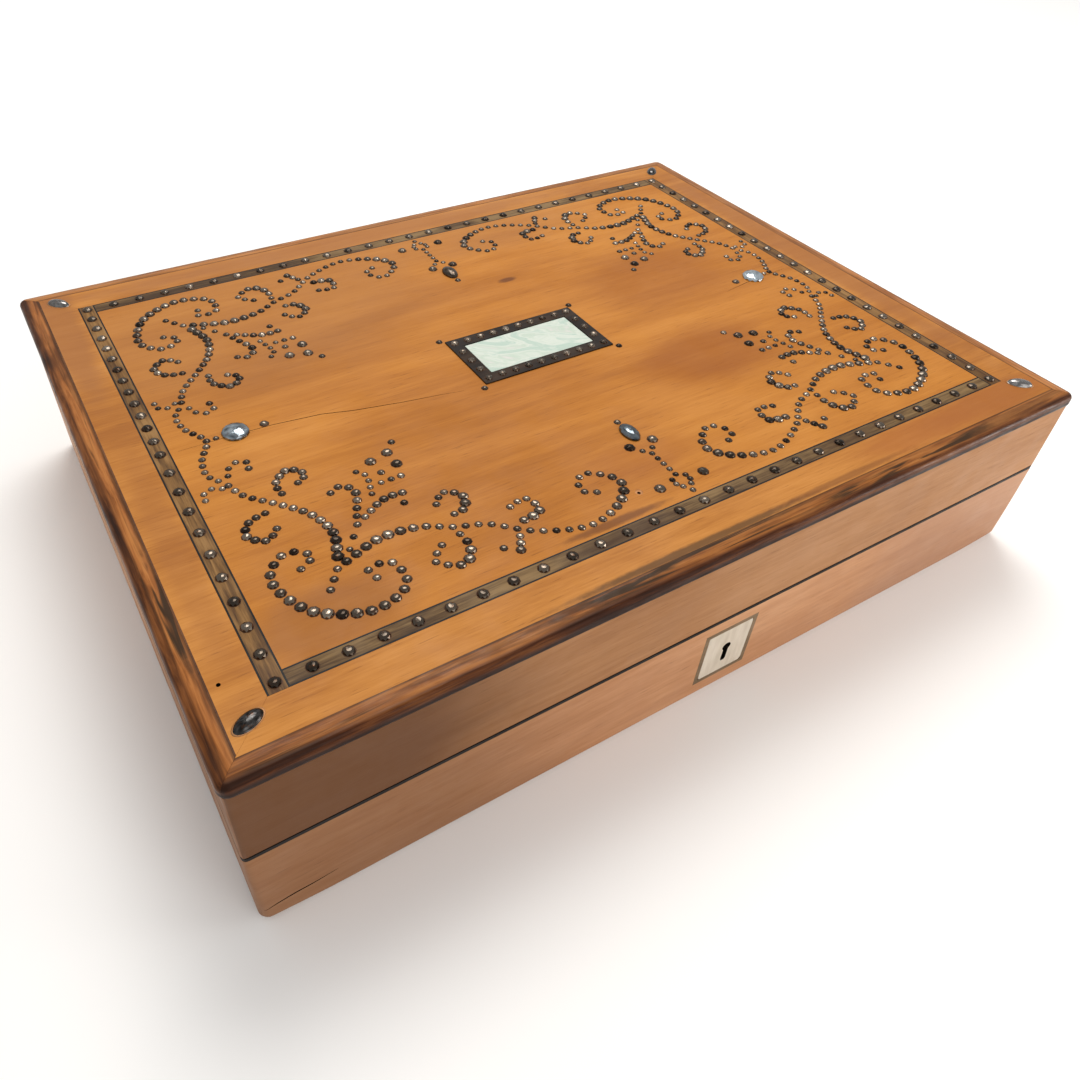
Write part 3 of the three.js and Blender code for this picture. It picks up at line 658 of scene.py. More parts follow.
def mitred(side, inner_x, inner_y, section, stations, gap=0.0):
    """Vertices of a section carried along one side: along = s (inner + out), across = inner + out.

    s runs through the stations from -1 to 1. A gap in metres is taken off each end.
    """
    turns = SIDES.index(side)
    along_inner, across_inner = (inner_x, inner_y) if turns % 2 == 0 else (inner_y, inner_x)
    out, z = np.array(section, float).T
    s = np.asarray(stations, float)[:, None]
    x = s * (along_inner + out[None, :] - gap)
    y = np.broadcast_to(-(across_inner + out[None, :]), x.shape)
    z = np.broadcast_to(z[None, :], x.shape)
    for _ in range(turns):
        x, y = -y, x
    return np.stack([x, y, z], -1).reshape(-1, 3)


def mitred_faces(stations, points):
    """Side quads of a carried section and one face at each end."""
    faces = grid_faces(stations, points, close_columns=True).tolist()
    faces.append(list(range(points)))
    faces.append(list(range((stations - 1) * points, stations * points)))
    return faces


def stations_of(side, dense=26, plain=12):
    """Stations from -1 to 1 along a side: dense ones near each corner and plain ones between them."""
    half = half_width if side in ("front", "back") else half_depth
    share = np.linspace(0, 1, dense) ** 1.5
    inward = 1 - share * DENSE_REACH / half
    return np.r_[-inward, np.linspace(-inward[-1], inward[-1], plain)[1:-1], inward[::-1]]


print("stations along the front:", len(stations_of("front")))

# %% [markdown]
# The base is four mitred walls. Their veneer runs down over the edge of the bottom board, so no joint
# shows. The upright corners are rubbed round, and the lower corners more so, as on any box that has
# been slid about for a hundred years. The rounding is a field: near the bottom corners its radius
# grows, and whatever stands outside the rounded body is pulled back onto it.

# %% Base walls
CORNER_WEAR = 3.2 * MM  # radius at the four lower corners
EDGE_WEAR = 1.4 * MM  # radius along the other edges
WEAR_REACH = 24 * MM  # from a lower corner to where its radius has shrunk to that of the edges
LIP = 0.9 * MM  # thickness of the veneer that covers the bottom board's edge
WALL_ARRIS = 0.12 * MM


def worn(points, foot):
    """Pulls points onto a box with rounded edges, whose radius grows near its lower corners.

    For a local radius r, the inner box lies r inside. A point outside it by a vector v longer than r
    moves to the inner box's surface plus r v/|v|. The box stands at the height foot.
    """
    away = np.stack([half_width - np.abs(points[:, 0]), half_depth - np.abs(points[:, 1]),
                     points[:, 2] - foot], 1)
    near = np.clip(1 - np.linalg.norm(np.clip(away, 0, None), axis=1) / WEAR_REACH, 0, 1)
    radius = EDGE_WEAR + (CORNER_WEAR - EDGE_WEAR) * near ** 1.5
    over = np.clip(radius[:, None] - away, 0, None)
    length = np.linalg.norm(over, axis=1)
    scale = np.where(length > radius, radius / np.maximum(length, 1e-9), 1.0)
    moved = over * (1 - scale[:, None])
    sign = np.sign(points)
    return points - np.stack([sign[:, 0] * moved[:, 0], sign[:, 1] * moved[:, 1], -moved[:, 2]], 1)


def worn_inside(points, depth, foot):
    """Points that lie depth inside the box's outline: worn as the outline is, and as deep inside it."""
    inward = np.array([1 - depth / half_width, 1 - depth / half_depth, 1.0])
    return worn(points / inward, foot) * inward


def box_side(name, side, section, foot, body, material, replaced):
    """One mitred side of the base or the lid, worn round at its corners.

    Only the points of the outer skin are worn. The lip's inner face keeps the lip's thickness.
    """
    stations = stations_of(side)
    points = mitred(side, half_width - wall, half_depth - wall, section, stations)
    out, z = np.tile(np.array(section), (len(stations), 1)).T
    lip = np.isclose(out, wall - LIP) & (z > foot)
    skin = (out > wall - 1.1 * LIP) & ~lip
    points[lip] = worn_inside(points[lip], LIP, foot)
    points[skin] = worn(points[skin], foot)
    mesh = make_mesh(name, points, mitred_faces(len(stations), len(section)), [material], smooth=True)
    mesh.set_sharp_from_angle(angle=math.radians(32))
    return place(name, mesh, body, replaced)


# heights of the outer face's points, close together where the lower corners are worn
fine_z = np.r_[np.linspace(0, 7, 15), np.linspace(9, wall_top / MM - 0.2, 8)] * MM
lip_z = np.linspace(0, bottom_thickness, 7)
wall_section = [(0, wall_top), (0, bottom_thickness)] + [(wall - LIP, z) for z in lip_z[::-1]]
wall_section += [(wall, z) for z in fine_z] + [(wall - WALL_ARRIS, wall_top)]
base_sides = {}
for side in SIDES:
    base_sides[side] = box_side(f"base_{side}", side, wall_section, 0.0, "base", base_veneers[side],
                                [f"base_{side}_wall"])
print("faces of one base wall:", len(base_sides["front"].data.polygons))

# %% [markdown]
# The bottom board lies inside that lip and follows the same worn outline, a hair further in, so its
# corners never stick out of the rounded ones. It is a stack of rings, drawn through the same rounding
# field: from the flat of the underside out to the box's edge, then up to the board's top. One face
# closes it above and one below. The flat stands on the floor at height zero, as the solid does.

# %% Bottom board
RING = 240  # points round the box
BOARD_PLAY = LIP + 0.1 * MM
UNDERSIDE_INSETS = (CORNER_WEAR, 2 * MM, EDGE_WEAR, BOARD_PLAY)  # from the flat out to the edge


def around(count):
    """x and y of points round a rectangle of half size 1, from the corner at (-1, -1)."""
    t = np.arange(count) / count * 4
    side, s = np.floor(t).astype(int), (t % 1) * 2 - 1
    x = np.select([side == 0, side == 1, side == 2], [s, 1, -s], -1)
    y = np.select([side == 0, side == 1, side == 2], [-1, s, 1], -s)
    return np.stack([x, y], 1)


def board_ring(inset, z):
    """The box's outline moved in by inset, at one height."""
    return np.c_[around(RING) * (half_width - inset, half_depth - inset), np.full(RING, z)]


board_rings = [worn(board_ring(inset, 0.0), 0.0) for inset in UNDERSIDE_INSETS]
board_rings += [worn_inside(board_ring(BOARD_PLAY, z), BOARD_PLAY, 0.0) for z in lip_z[1:]]
board_faces = grid_faces(len(board_rings), RING, close_columns=True).tolist()
board_faces += [list(range(RING)), list(range((len(board_rings) - 1) * RING, len(board_rings) * RING))]
board_mesh = make_mesh("base_bottom", np.concatenate(board_rings), board_faces, [plain_wood])
place("base_bottom", board_mesh, "base", ["base_bottom_board"])
print("board rings:", len(board_rings))

# %% [markdown]
# The lid's sides are made in the same way, but only their upright edges are rubbed round: their foot
# is put so far below that the wear of the lower corners doesn't reach them.

# %% Lid sides
FAR_BELOW = -1.0
LID_ARRIS = 0.2 * MM
fine_lid = np.linspace(lid_bottom + LID_ARRIS, moulding_bottom, 8)
lid_section = [(0, moulding_bottom), (0, lid_bottom), (wall - LID_ARRIS, lid_bottom)]
lid_section += [(wall, z) for z in fine_lid]
lid_sides = {}
for side in SIDES:
    lid_sides[side] = box_side(f"lid_{side}", side, lid_section, FAR_BELOW, "lid", lid_veneers[side],
                               [f"lid_{side}_rail"])
print("faces of one lid side:", len(lid_sides["front"].data.polygons))

# %% [markdown]
# Hinges, lock and link plate lie in pockets cut into the wood, so the new walls get the same pockets as
# the solids. A boolean cut is the right tool here, because the pockets are plain boxes.

# %% Pockets
FIT = 0.3 * MM  # play round a fitting
OVER = 1 * MM  # how far a cutter reaches past a face
LEAF_POCKET = 1.2 * MM  # depth of the hinge leaf's pocket in the lid
pockets = []
for name in ("hinge_left_upper_leaf", "hinge_right_upper_leaf"):
    pockets.append(cutter_box((low(name)[0] - FIT, low(name)[1] - FIT, lid_bottom - OVER),
                              (high(name)[0] + FIT, half_depth + OVER, lid_bottom + LEAF_POCKET)))
carve(lid_sides["back"], pockets)
link_low, link_high = low("lock_link_plate"), high("lock_link_plate")
carve(lid_sides["front"], [cutter_box((link_low[0] - FIT, link_low[1] - FIT, lid_bottom - OVER),
                                      (link_high[0] + FIT, -half_depth + wall + OVER, link_high[2]))])
print("pockets in the lid's sides:", len(pockets) + 1)

# %% [markdown]
# The keyhole is a round hole with a slot below it. Seen from the middle of its round part, each
# direction meets its outline once, so the outline is a radius for each angle: the circle, or inside
# the slot's width the distance to the slot's sides or its foot. The cut's walls are black with dirt.
# The front wall also has a split, which starts at its worn lower left corner and dies out in the wood.

# %% Keyhole
HOLE_RADIUS = 1.6 * MM
SLOT_HALF = 1.0 * MM  # half the slot's width
SLOT_FOOT = 6.5 * MM  # from the round hole's middle down to the slot's end
HOLE_RISE = 1.6 * MM  # of the round hole's middle over the plate's middle
plate_low, plate_high = low("keyhole_plate"), high("keyhole_plate")
surround_low, surround_high = low("keyhole_plate_surround"), high("keyhole_plate_surround")
lock_low, lock_high = low("lock"), high("lock")
hole_x = (plate_low[0] + plate_high[0]) / 2
hole_z = (plate_low[2] + plate_high[2]) / 2 + HOLE_RISE
KEYHOLE_POINTS = 72
directions = np.linspace(0, 2 * np.pi, KEYHOLE_POINTS, endpoint=False) - np.pi / 2


def keyhole_outline():
    """x and z of the keyhole round its middle, one point for each direction."""
    dx, dz = np.cos(directions), np.sin(directions)
    to_side = SLOT_HALF / np.maximum(np.abs(dx), 1e-6)
    to_foot = SLOT_FOOT / np.maximum(-dz, 1e-6)
    slot = np.where(dz < 0, np.minimum(to_side, to_foot), 0)
    radius = np.maximum(HOLE_RADIUS, slot)
    return np.stack([hole_x + radius * dx, hole_z + radius * dz], 1)


outline = keyhole_outline()


def at_depth(flat, y):
    """(x, z) points placed in a plane of constant y."""
    return np.insert(flat, 1, y, axis=1)


recess_depth = plate_high[1]
hole_ends = [at_depth(outline, -half_depth - OVER), at_depth(outline, -half_depth + wall + OVER)]
keyhole_faces = grid_faces(2, KEYHOLE_POINTS, close_columns=True).tolist()
keyhole_faces += [list(range(KEYHOLE_POINTS)), list(range(KEYHOLE_POINTS, 2 * KEYHOLE_POINTS))]
RECESS_PLAY = 0.05 * MM
SPLIT_WIDTH, SPLIT_DEPTH = 0.5, 0.8  # millimetres
SPLIT = [(-149.4, 6.4), (-145.0, 7.4), (-140.3, 8.0), (-134.5, 8.2), (-128.3, 8.9)]
carve(base_sides["front"], [
    cutter_box((surround_low[0] - RECESS_PLAY, -half_depth - OVER, surround_low[2] - RECESS_PLAY),
               (surround_high[0] + RECESS_PLAY, recess_depth, surround_high[2] + RECESS_PLAY)),
    cutter(make_mesh("cutter", np.concatenate(hole_ends), keyhole_faces, [dirt])),
    cutter_box(lock_low - FIT, (lock_high[0] + FIT, -half_depth + wall + OVER, wall_top + OVER)),
    crack(SPLIT, SPLIT_WIDTH, SPLIT_DEPTH, -half_depth, upright=True),
])
print("faces of the front wall with its holes:", len(base_sides["front"].data.polygons))

# %% [markdown]
# The plate is bone, set flush in a thin border. Its face is a ring of quads between a rectangle and the
# keyhole: both outlines have one point for each direction, so a straight blend joins them.

# %% Keyhole plate


def rectangle_outline(corner, opposite):
    """Where the ray in each direction from the keyhole's middle meets a rectangle."""
    dx, dz = np.cos(directions), np.sin(directions)
    to_x = np.where(dx > 0, opposite[0] - hole_x, corner[0] - hole_x) / np.where(abs(dx) < 1e-9, 1e-9, dx)
    to_z = np.where(dz > 0, opposite[1] - hole_z, corner[1] - hole_z) / np.where(abs(dz) < 1e-9, 1e-9, dz)
    t = np.minimum(np.abs(to_x), np.abs(to_z))
    return np.stack([hole_x + dx * t, hole_z + dz * t], 1)


PROUD = 0.05 * MM  # of the plate before its solid's face
BORDER_BACK = 0.03 * MM  # of the border behind the plate's face
PLATE_ARRIS = 0.12 * MM
PLATE_REACH, HOLE_REACH = 8 * MM, 2 * MM  # roughly from the hole's middle to each outline
edge = rectangle_outline(plate_low[[0, 2]], plate_high[[0, 2]])
face_y = plate_low[1] - PROUD
centre = np.array([hole_x, hole_z])
inward_edge = centre + (edge - centre) * (1 - PLATE_ARRIS / PLATE_REACH)
wide_outline = centre + (outline - centre) * (1 + PLATE_ARRIS / HOLE_REACH)
rings = [at_depth(edge, recess_depth), at_depth(edge, face_y + PLATE_ARRIS),
         at_depth(inward_edge, face_y), at_depth(wide_outline, face_y),
         at_depth(outline, face_y + PLATE_ARRIS), at_depth(outline, recess_depth)]
ring_material = np.repeat([0, 0, 0, 1, 1, 0], KEYHOLE_POINTS)
plate_mesh = make_mesh("keyhole_plate_bone", np.concatenate(rings),
                       grid_faces(len(rings), KEYHOLE_POINTS, True, True), [bone, dirt], ring_material)
place("keyhole_plate_bone", plate_mesh, "base", ["keyhole_plate"])


def border(name, inner, outer, y_front, y_back, material, nodes):
    """A flat rectangular frame in a plane of constant y, between two (corner, opposite) rectangles."""
    loops = []
    for (corner, opposite), y in ((inner, y_back), (inner, y_front), (outer, y_front), (outer, y_back)):
        (x0, z0), (x1, z1) = corner, opposite
        loops.append(at_depth(np.array([(x0, z0), (x1, z0), (x1, z1), (x0, z1)]), y))
    mesh = make_mesh(name, np.concatenate(loops), grid_faces(4, 4, True, True), [material])
    return place(name, mesh, "base", nodes)


JOINT = 0.02 * MM  # between plate and border
border("keyhole_border", (plate_low[[0, 2]] - JOINT, plate_high[[0, 2]] + JOINT),
       (surround_low[[0, 2]], surround_high[[0, 2]]), face_y + BORDER_BACK, recess_depth, border_wood,
       ["keyhole_plate_surround"])
print("keyhole at", round(hole_x / MM, 1), round(hole_z / MM, 1))

# %% [markdown]
# The moulding's section falls a little from the veneer, turns over a round shoulder, drops down an
# upright nose and turns under to the side. Hands have rubbed it, so its top wanders by a few hundredths
# of a millimetre. Its corners are round in plan: whatever stands outside the arc that belongs to its
# own distance from the nose is pulled back onto that arc.

# %% Lid moulding
mould_out = nose_x - band_x
SHOULDER = 1.7 * MM  # radius of the shoulder
FALL = 0.5 * MM  # of the top, from the veneer to the shoulder
NOSE_FOOT = 1.1 * MM  # height of the tuck under the nose
TUCK = 0.5 * MM  # how far it goes in
ROUND_CORNER = 3 * MM  # radius in plan at the nose
RUB = 0.028 * MM  # strength of the waves on the top and nose
MOULDING_GAP = 0.05 * MM  # open at each mitre


def moulding_section():
    """(out, z) points: the top, a quarter round, the upright nose, the tuck and the underside.

    The top falls as FALL t^2, with t = 0..1 from the veneer to the shoulder.
    """
    t = np.linspace(0, 1, 9)[:-1]
    top = np.stack([(mould_out - SHOULDER) * t, lid_top - FALL * t ** 2], 1)
    turning = np.radians(np.linspace(90, 0, 10))
    shoulder = np.stack([mould_out - SHOULDER * (1 - np.cos(turning)),
                         lid_top - FALL - SHOULDER * (1 - np.sin(turning))], 1)
    under = np.radians(np.linspace(0, 90, 6))
    tuck = np.stack([mould_out - TUCK * (1 - np.cos(under)),
                     moulding_bottom + NOSE_FOOT * (1 - np.sin(under))], 1)
    return np.r_[top, shoulder, tuck, [[0, moulding_bottom]]]


def round_in_plan(points):
    """Pulls points near a corner onto arcs round one centre, radius r at the nose and less inside it.

    With v the vector from the arc's centre, a point at the greater of |vx|, |vy| = m keeps that
    distance m from the centre: it moves to v m/|v|.
    """
    v = np.abs(points[:, :2]) - (nose_x - ROUND_CORNER, nose_y - ROUND_CORNER)
    beyond = np.all(v > 0, axis=1)
    m, length = v.max(1), np.maximum(np.linalg.norm(v, axis=1), 1e-9)
    scale = np.where(beyond, m / length, 1.0)[:, None]
    rounded = (v * scale + (nose_x - ROUND_CORNER, nose_y - ROUND_CORNER)) * np.sign(points[:, :2])
    return np.c_[np.where(beyond[:, None], rounded, points[:, :2]), points[:, 2]]


section = moulding_section()
lengths = np.linalg.norm(np.diff(section[:-1], axis=0), axis=1)
zone = np.r_[0, np.cumsum(lengths)] / lengths.sum()
above_tuck = section[:, 1] > moulding_bottom + NOSE_FOOT
rubbed_share = np.clip(section[:, 0] / mould_out - 0.3, 0, 1) * above_tuck
for side in SIDES:
    stations = stations_of(side, dense=44, plain=60)
    points = mitred(side, band_x, band_y, section, stations, gap=MOULDING_GAP)
    rng = np.random.default_rng(40 + SIDES.index(side))
    waves = np.zeros(len(stations))
    for strength, turns, start in rng.uniform((0.2, 2, 0), (1, 30, 6), (6, 3)):
        waves += strength * np.sin(turns * np.pi * stations + start)
    points[:, 2] -= (RUB * np.abs(waves)[:, None] * rubbed_share[None, :]).ravel()
    points = round_in_plan(points)
    mesh = make_mesh(f"moulding_{side}", points, mitred_faces(len(stations), len(section)),
                     [moulding_woods[side]], smooth=True)
    mesh.set_sharp_from_angle(angle=math.radians(38))
    set_points(mesh, "zone", np.tile(np.r_[zone, 1.0], len(stations)))
    place(f"moulding_{side}", mesh, "lid", [f"lid_moulding_{side}"])
print("moulding is", round(mould_out / MM, 2), "mm wide")

# %% [markdown]
# Inside the moulding lie the veneers, all flush: a mitred band, the dark strip and the field. On the
# left the band has a dark line along the moulding. The line is a narrow row of faces with a material of
# its own, which stays crisp at any distance.

# %% Bands
LINE = 0.5 * MM
BAR_ARRIS = 0.05 * MM
BAR_GAP = 0.03 * MM  # open at each mitre


def flat_bar(name, side, inner_x, inner_y, widths, materials, slot, replaced, top, bottom):
    """A flat mitred bar on the lid whose top is split lengthwise, one material for each width."""
    outs = np.r_[0, np.cumsum(widths)]
    bar_section = [(0, top - BAR_ARRIS), (BAR_ARRIS, top)] + [(out, top) for out in outs[1:-1]]
    bar_section += [(outs[-1] - BAR_ARRIS, top), (outs[-1], top - BAR_ARRIS), (outs[-1], bottom), (0, bottom)]
    points = mitred(side, inner_x, inner_y, bar_section, (-1, 0, 1), BAR_GAP)
    column_materials = [0, *range(len(widths)), len(widths) - 1, 0, 0, 0]
    mesh = make_mesh(name, points, mitred_faces(3, len(bar_section)), materials,
                     column_materials * 2 + [0, 0])
    return place(name, mesh, "lid", replaced)


band_width = band_x - strip_x
for side in SIDES:
    outer_line = line_wood if side == "left" else band_wood
    flat_bar(f"band_{side}", side, strip_x, strip_y, [band_width - LINE, LINE], [band_wood, outer_line],
             "crossband_veneer", [f"crossband_{side}"], lid_top, board_top)
print("band is", round(band_width / MM, 2), "mm wide")

# %% [markdown]
# A small nail hole in the left band has filled with dirt. It is bored by a cutter with twelve sides,
# and so is the hole that a lost stud has left in the field.

# %% Nail hole
NAIL_HOLE = (-141.6, -88.0)  # millimetres, as the next two
NAIL_RADIUS = 0.55
NAIL_DEPTH = 1.0
DRILL_SIDES = 12
DRILL_RINGS = [(1.15, 0.5), (1.0, -0.1)]  # share of the radius, and height over the lid's top


def drill(x, y, radius, depth, material):
    """A round cutter that goes down from the lid's top, widest at the top. Sizes in millimetres."""
    angle = np.arange(DRILL_SIDES) * 2 * np.pi / DRILL_SIDES
    loops = []
    for share, z in (*DRILL_RINGS, (0.7, -depth)):
        loops.append(np.stack([(x + radius * share * np.cos(angle)) * MM,
                               (y + radius * share * np.sin(angle)) * MM,
                               np.full(DRILL_SIDES, lid_top + z * MM)], 1))
    faces = grid_faces(3, DRILL_SIDES, close_columns=True).tolist()
    faces += [list(range(DRILL_SIDES)), list(range(2 * DRILL_SIDES, 3 * DRILL_SIDES))]
    return cutter(make_mesh("drill", np.concatenate(loops), faces, [material]))


left_band = bpy.data.objects["band_left"]
carve(left_band, [drill(*NAIL_HOLE, NAIL_RADIUS, NAIL_DEPTH, dirt)])
print("faces of the bored band:", len(left_band.data.polygons))

# %% [markdown]
# The strips aren't mitred: the left and right ones run through, and the front and back ones end
# against them. Each has a black line down either edge.

# %% Strips
STRIP_FACE_MATERIALS = [1, 1, 0, 1, 1, 0, 0, 0]  # side, line, wood, line, side, underside, two ends


def strip(name, corner, opposite, along_x, material, replaced):
    """A dark strip with a black line down each edge."""
    (x0, y0), (x1, y1) = corner, opposite
    across0, across1 = (y0, y1) if along_x else (x0, x1)
    start, end = (x0, x1) if along_x else (y0, y1)
    cuts = [across0, across0 + LINE, across1 - LINE, across1]
    across, z = np.array([(across0, board_top), *[(cut, lid_top) for cut in cuts], (across1, board_top)]).T
    rows = []
    for at in (start, end):
        along = np.full(len(across), at)
        rows.append(np.stack([along, across, z] if along_x else [across, along, z], 1))
    mesh = make_mesh(name, np.concatenate(rows), mitred_faces(2, len(across)), [material, black_wood],
                     STRIP_FACE_MATERIALS)
    return place(name, mesh, "lid", replaced)


for side, mirror in (("left", -1), ("right", 1)):
    x0, x1 = sorted((mirror * field_x, mirror * strip_x))
    strip(f"strip_{side}", (x0, -strip_y), (x1, strip_y), False, strip_side_wood, [f"studded_strip_{side}"])
for side, mirror in (("front", -1), ("back", 1)):
    y0, y1 = sorted((mirror * field_y, mirror * strip_y))
    strip(f"strip_{side}", (-field_x, y0), (field_x, y1), True, strip_wood, [f"studded_strip_{side}"])
print("strips are", round(strip_width / MM, 2), "mm wide")

# %% [markdown]
# The field is one sheet. It has shrunk a little over the years: two hairline cracks run in from its
# ends, one stud has dropped out of its hole near the front, and the plaque sits in a shallow seat.
# Places on the field are written in hundredths of its half width and half depth.

# %% Field
plaque_half_x, plaque_half_y = high("plaque_frame_back")[:2]
seat_z = low("pearl_plaque")[2]
LOST_STUD = (-11.5, -90)
LOST_RADIUS = 1.2  # millimetres, as all the sizes of holes and cracks
DIMPLE_DEPTH, PIN_DEPTH = 0.3, 0.8
CRACK_WIDTH, CRACK_DEPTH = 0.22, 0.4
CRACKS = [
    [(-98.2, -0.8), (-86, -1.0), (-75.2, -1.8), (-63.3, -4.0), (-55.3, -7.4), (-43.3, -11.0),
     (-34, -13.2), (-27, -15.2)],
    [(97.3, -0.7), (88, -1.6), (80, -2.6), (70.4, -4.6)],
]
field_half = np.array([field_x, field_y])
lost_x, lost_y = np.array(LOST_STUD) / 100 * field_half / MM
field_mesh = block_mesh("field", (-field_x, -field_y, board_top), (field_x, field_y, lid_top), [field_wood])
field = place("field", field_mesh, "lid", ["field_panel"])
field_cuts = [cutter_box((-plaque_half_x, -plaque_half_y, seat_z),
                         (plaque_half_x, plaque_half_y, lid_top + OVER)),
              drill(lost_x, lost_y, LOST_RADIUS, DIMPLE_DEPTH, rubbed_wood),
              # the pin hole's walls are painted dark: polish, and painted shade down the hole
              drill(lost_x, lost_y, LOST_RADIUS / 2, PIN_DEPTH, grime_and_shade)]
for line in CRACKS:
    places = np.array(line) / 100 * field_half / MM
    field_cuts.append(crack(places, CRACK_WIDTH, CRACK_DEPTH, lid_top))
carve(field, field_cuts)
print("field faces:", len(field.data.polygons))

# %% [markdown]
# The studs are the point of this box. Each scroll is a smooth line through a few points of one quarter
# of the field, and it is mirrored into the other three. The studs stand on it at equal steps, and their
# widths swell and shrink along it. The same table shapes the CAD model's studs.

# %% Table of the scrolls
TINY, SMALL, MEDIUM, BIG, STRIP_STUD = (np.array([1.7, 2.0, 2.5, 3.0, 3.3]) * MM).tolist()

# line through these points, number of studs, widths at equal steps along it
SCROLLS = [
    ([(87.5, 69.5), (84, 66), (89, 61.5), (94, 70), (90, 85.5), (79.5, 93.5), (70.5, 89.5), (70.5, 79.5),
      (75.5, 79), (75, 83)], 25, [SMALL, BIG, SMALL]),
    ([(84.5, 81), (81, 74.5)], 3, [SMALL]),
    ([(79.5, 70), (77.5, 60), (79.5, 49.5), (84.5, 40.5), (90, 32), (92, 25)], 16,
     [BIG, MEDIUM, SMALL, SMALL]),
    ([(88, 42.5), (92, 44), (94, 49.5), (90.5, 54), (87.5, 50.5)], 9, [SMALL, MEDIUM, SMALL]),
    ([(82.5, 36.5), (82.5, 31), (78.5, 26.5), (75.5, 31), (78, 34)], 9, [SMALL, MEDIUM, SMALL]),
    ([(78.5, 73), (69.5, 69), (60.5, 70.5), (54, 75.5), (47, 79.5), (39, 89), (27.5, 95), (17, 90.5),
      (13, 82), (19, 74), (23, 80), (20, 83.5)], 34,
     [MEDIUM, BIG, SMALL, SMALL, SMALL, SMALL, BIG, SMALL, SMALL]),
    ([(52, 70.5), (49, 69.5), (47.5, 64), (51, 60), (54, 64)], 8, [SMALL, BIG, SMALL, SMALL]),
    ([(54, 79), (54, 85.5), (57.5, 90.5), (62.5, 85.5), (59, 80.5)], 9, [SMALL, BIG, SMALL, SMALL]),
    ([(42, 83.5), (35, 82), (35.5, 75), (40, 76)], 8, [SMALL, BIG, SMALL, SMALL]),
    ([(43, 88.5), (45.5, 94), (48, 90.5)], 5, [SMALL, MEDIUM, SMALL]),
    ([(76.5, 69), (72, 60.5)], 3, [TINY, SMALL]),
    ([(71, 57), (68, 47), (70, 42), (73, 43.5)], 7, [SMALL, MEDIUM, SMALL]),
    ([(69.5, 58.5), (63.5, 54), (58, 54.5), (60, 58.5)], 8, [SMALL, MEDIUM, SMALL]),
    ([(65, 50), (63.5, 41.5), (65, 38)], 5, [TINY]),
    ([(61.5, 46.5), (56.5, 46.5)], 3, [TINY, SMALL]),
    ([(60.5, 35.5), (55.5, 34), (55.5, 40.5)], 3, [BIG]),
    ([(60, 42)], 1, [SMALL]),
    ([(53, 29.5)], 1, [SMALL]),
    ([(92, 3), (94.5, 9.5), (95, 17.5), (92, 24)], 8, [SMALL, TINY]),
    ([(91, 20.5), (90, 17), (87.5, 15), (85.5, 17), (86, 20)], 5, [TINY, SMALL]),
    ([(93.5, 25.5), (96, 24), (98, 26), (98, 28.5)], 4, [TINY]),
    ([(3.5, 70.5), (1.5, 74)], 2, [BIG, TINY]),
    ([(2, 90.5), (2.2, 92.3), (1.2, 94.7)], 3, [TINY]),
    ([(6.5, 92)], 1, [BIG]),
]
SIDE_MIDDLE = [([(91.3, 0), (89, 0)], 2, [SMALL, TINY]), ([(77, 0)], 1, [MEDIUM])]
END_MIDDLE = [([(0, 76.5), (0, 88.8)], 5, [TINY]), ([(0, 97.5)], 1, [TINY]),
              ([(0, 57)], 1, [SMALL])]
print("studs in one quarter:", sum(count for _, count, _ in SCROLLS))

# %% [markdown]
# The line through the points is a Catmull-Rom curve: it passes through each point, and its direction
# there is that from the point before to the point after. Where two groups run into each other, the
# stud that was placed first stays.

# %% Where the studs stand
PIN_OFFSET = 1.5 * MM  # of the four studs off the corners of the plaque's frame


def smooth_line(points, fineness=24):
    """Catmull-Rom curve: 0.5 (2b + (c-a)t + (2a-5b+4c-d)t^2 + (3b-a-3c+d)t^3) for each span."""
    p = np.array(points, float)
    p = np.vstack([2 * p[0] - p[1], p, 2 * p[-1] - p[-2]])
    a, b, c, d = p[:-3, None], p[1:-2, None], p[2:-1, None], p[3:, None]
    t = np.linspace(0, 1, fineness, endpoint=False)[None, :, None]
    curve = 0.5 * (2 * b + (c - a) * t + (2 * a - 5 * b + 4 * c - d) * t ** 2
                   + (3 * b - a - 3 * c + d) * t ** 3)
    return np.vstack([curve.reshape(-1, 2), p[-2]])


def along_line(scroll):
    """x, y and width of the studs of one scroll, at equal steps along its line."""
    points, count, widths = scroll
    if count == 1:
        return np.array([[*(np.array(points[0]) / 100 * field_half), widths[0]]])
    line = smooth_line(np.array(points) / 100 * field_half)
    length = np.r_[0, np.cumsum(np.linalg.norm(np.diff(line, axis=0), axis=1))]
    share = np.linspace(0, 1, count)
    x, y = (np.interp(share * length[-1], length, line[:, k]) for k in (0, 1))
    return np.stack([x, y, np.interp(share, np.linspace(0, 1, len(widths)), widths)], 1)


def without_clashes(studs, keep_clear):
    """Leaves out a stud that would stand on an earlier one or on a jewel."""
    kept = [np.array(k) for k in keep_clear]
    for stud in studs:
        others = np.array(kept)
        distance = np.linalg.norm(others[:, :2] - stud[:2], axis=1)
        if np.all(distance > (others[:, 2] + stud[2]) / 2):
            kept.append(stud)
    return np.array(kept[len(keep_clear):])


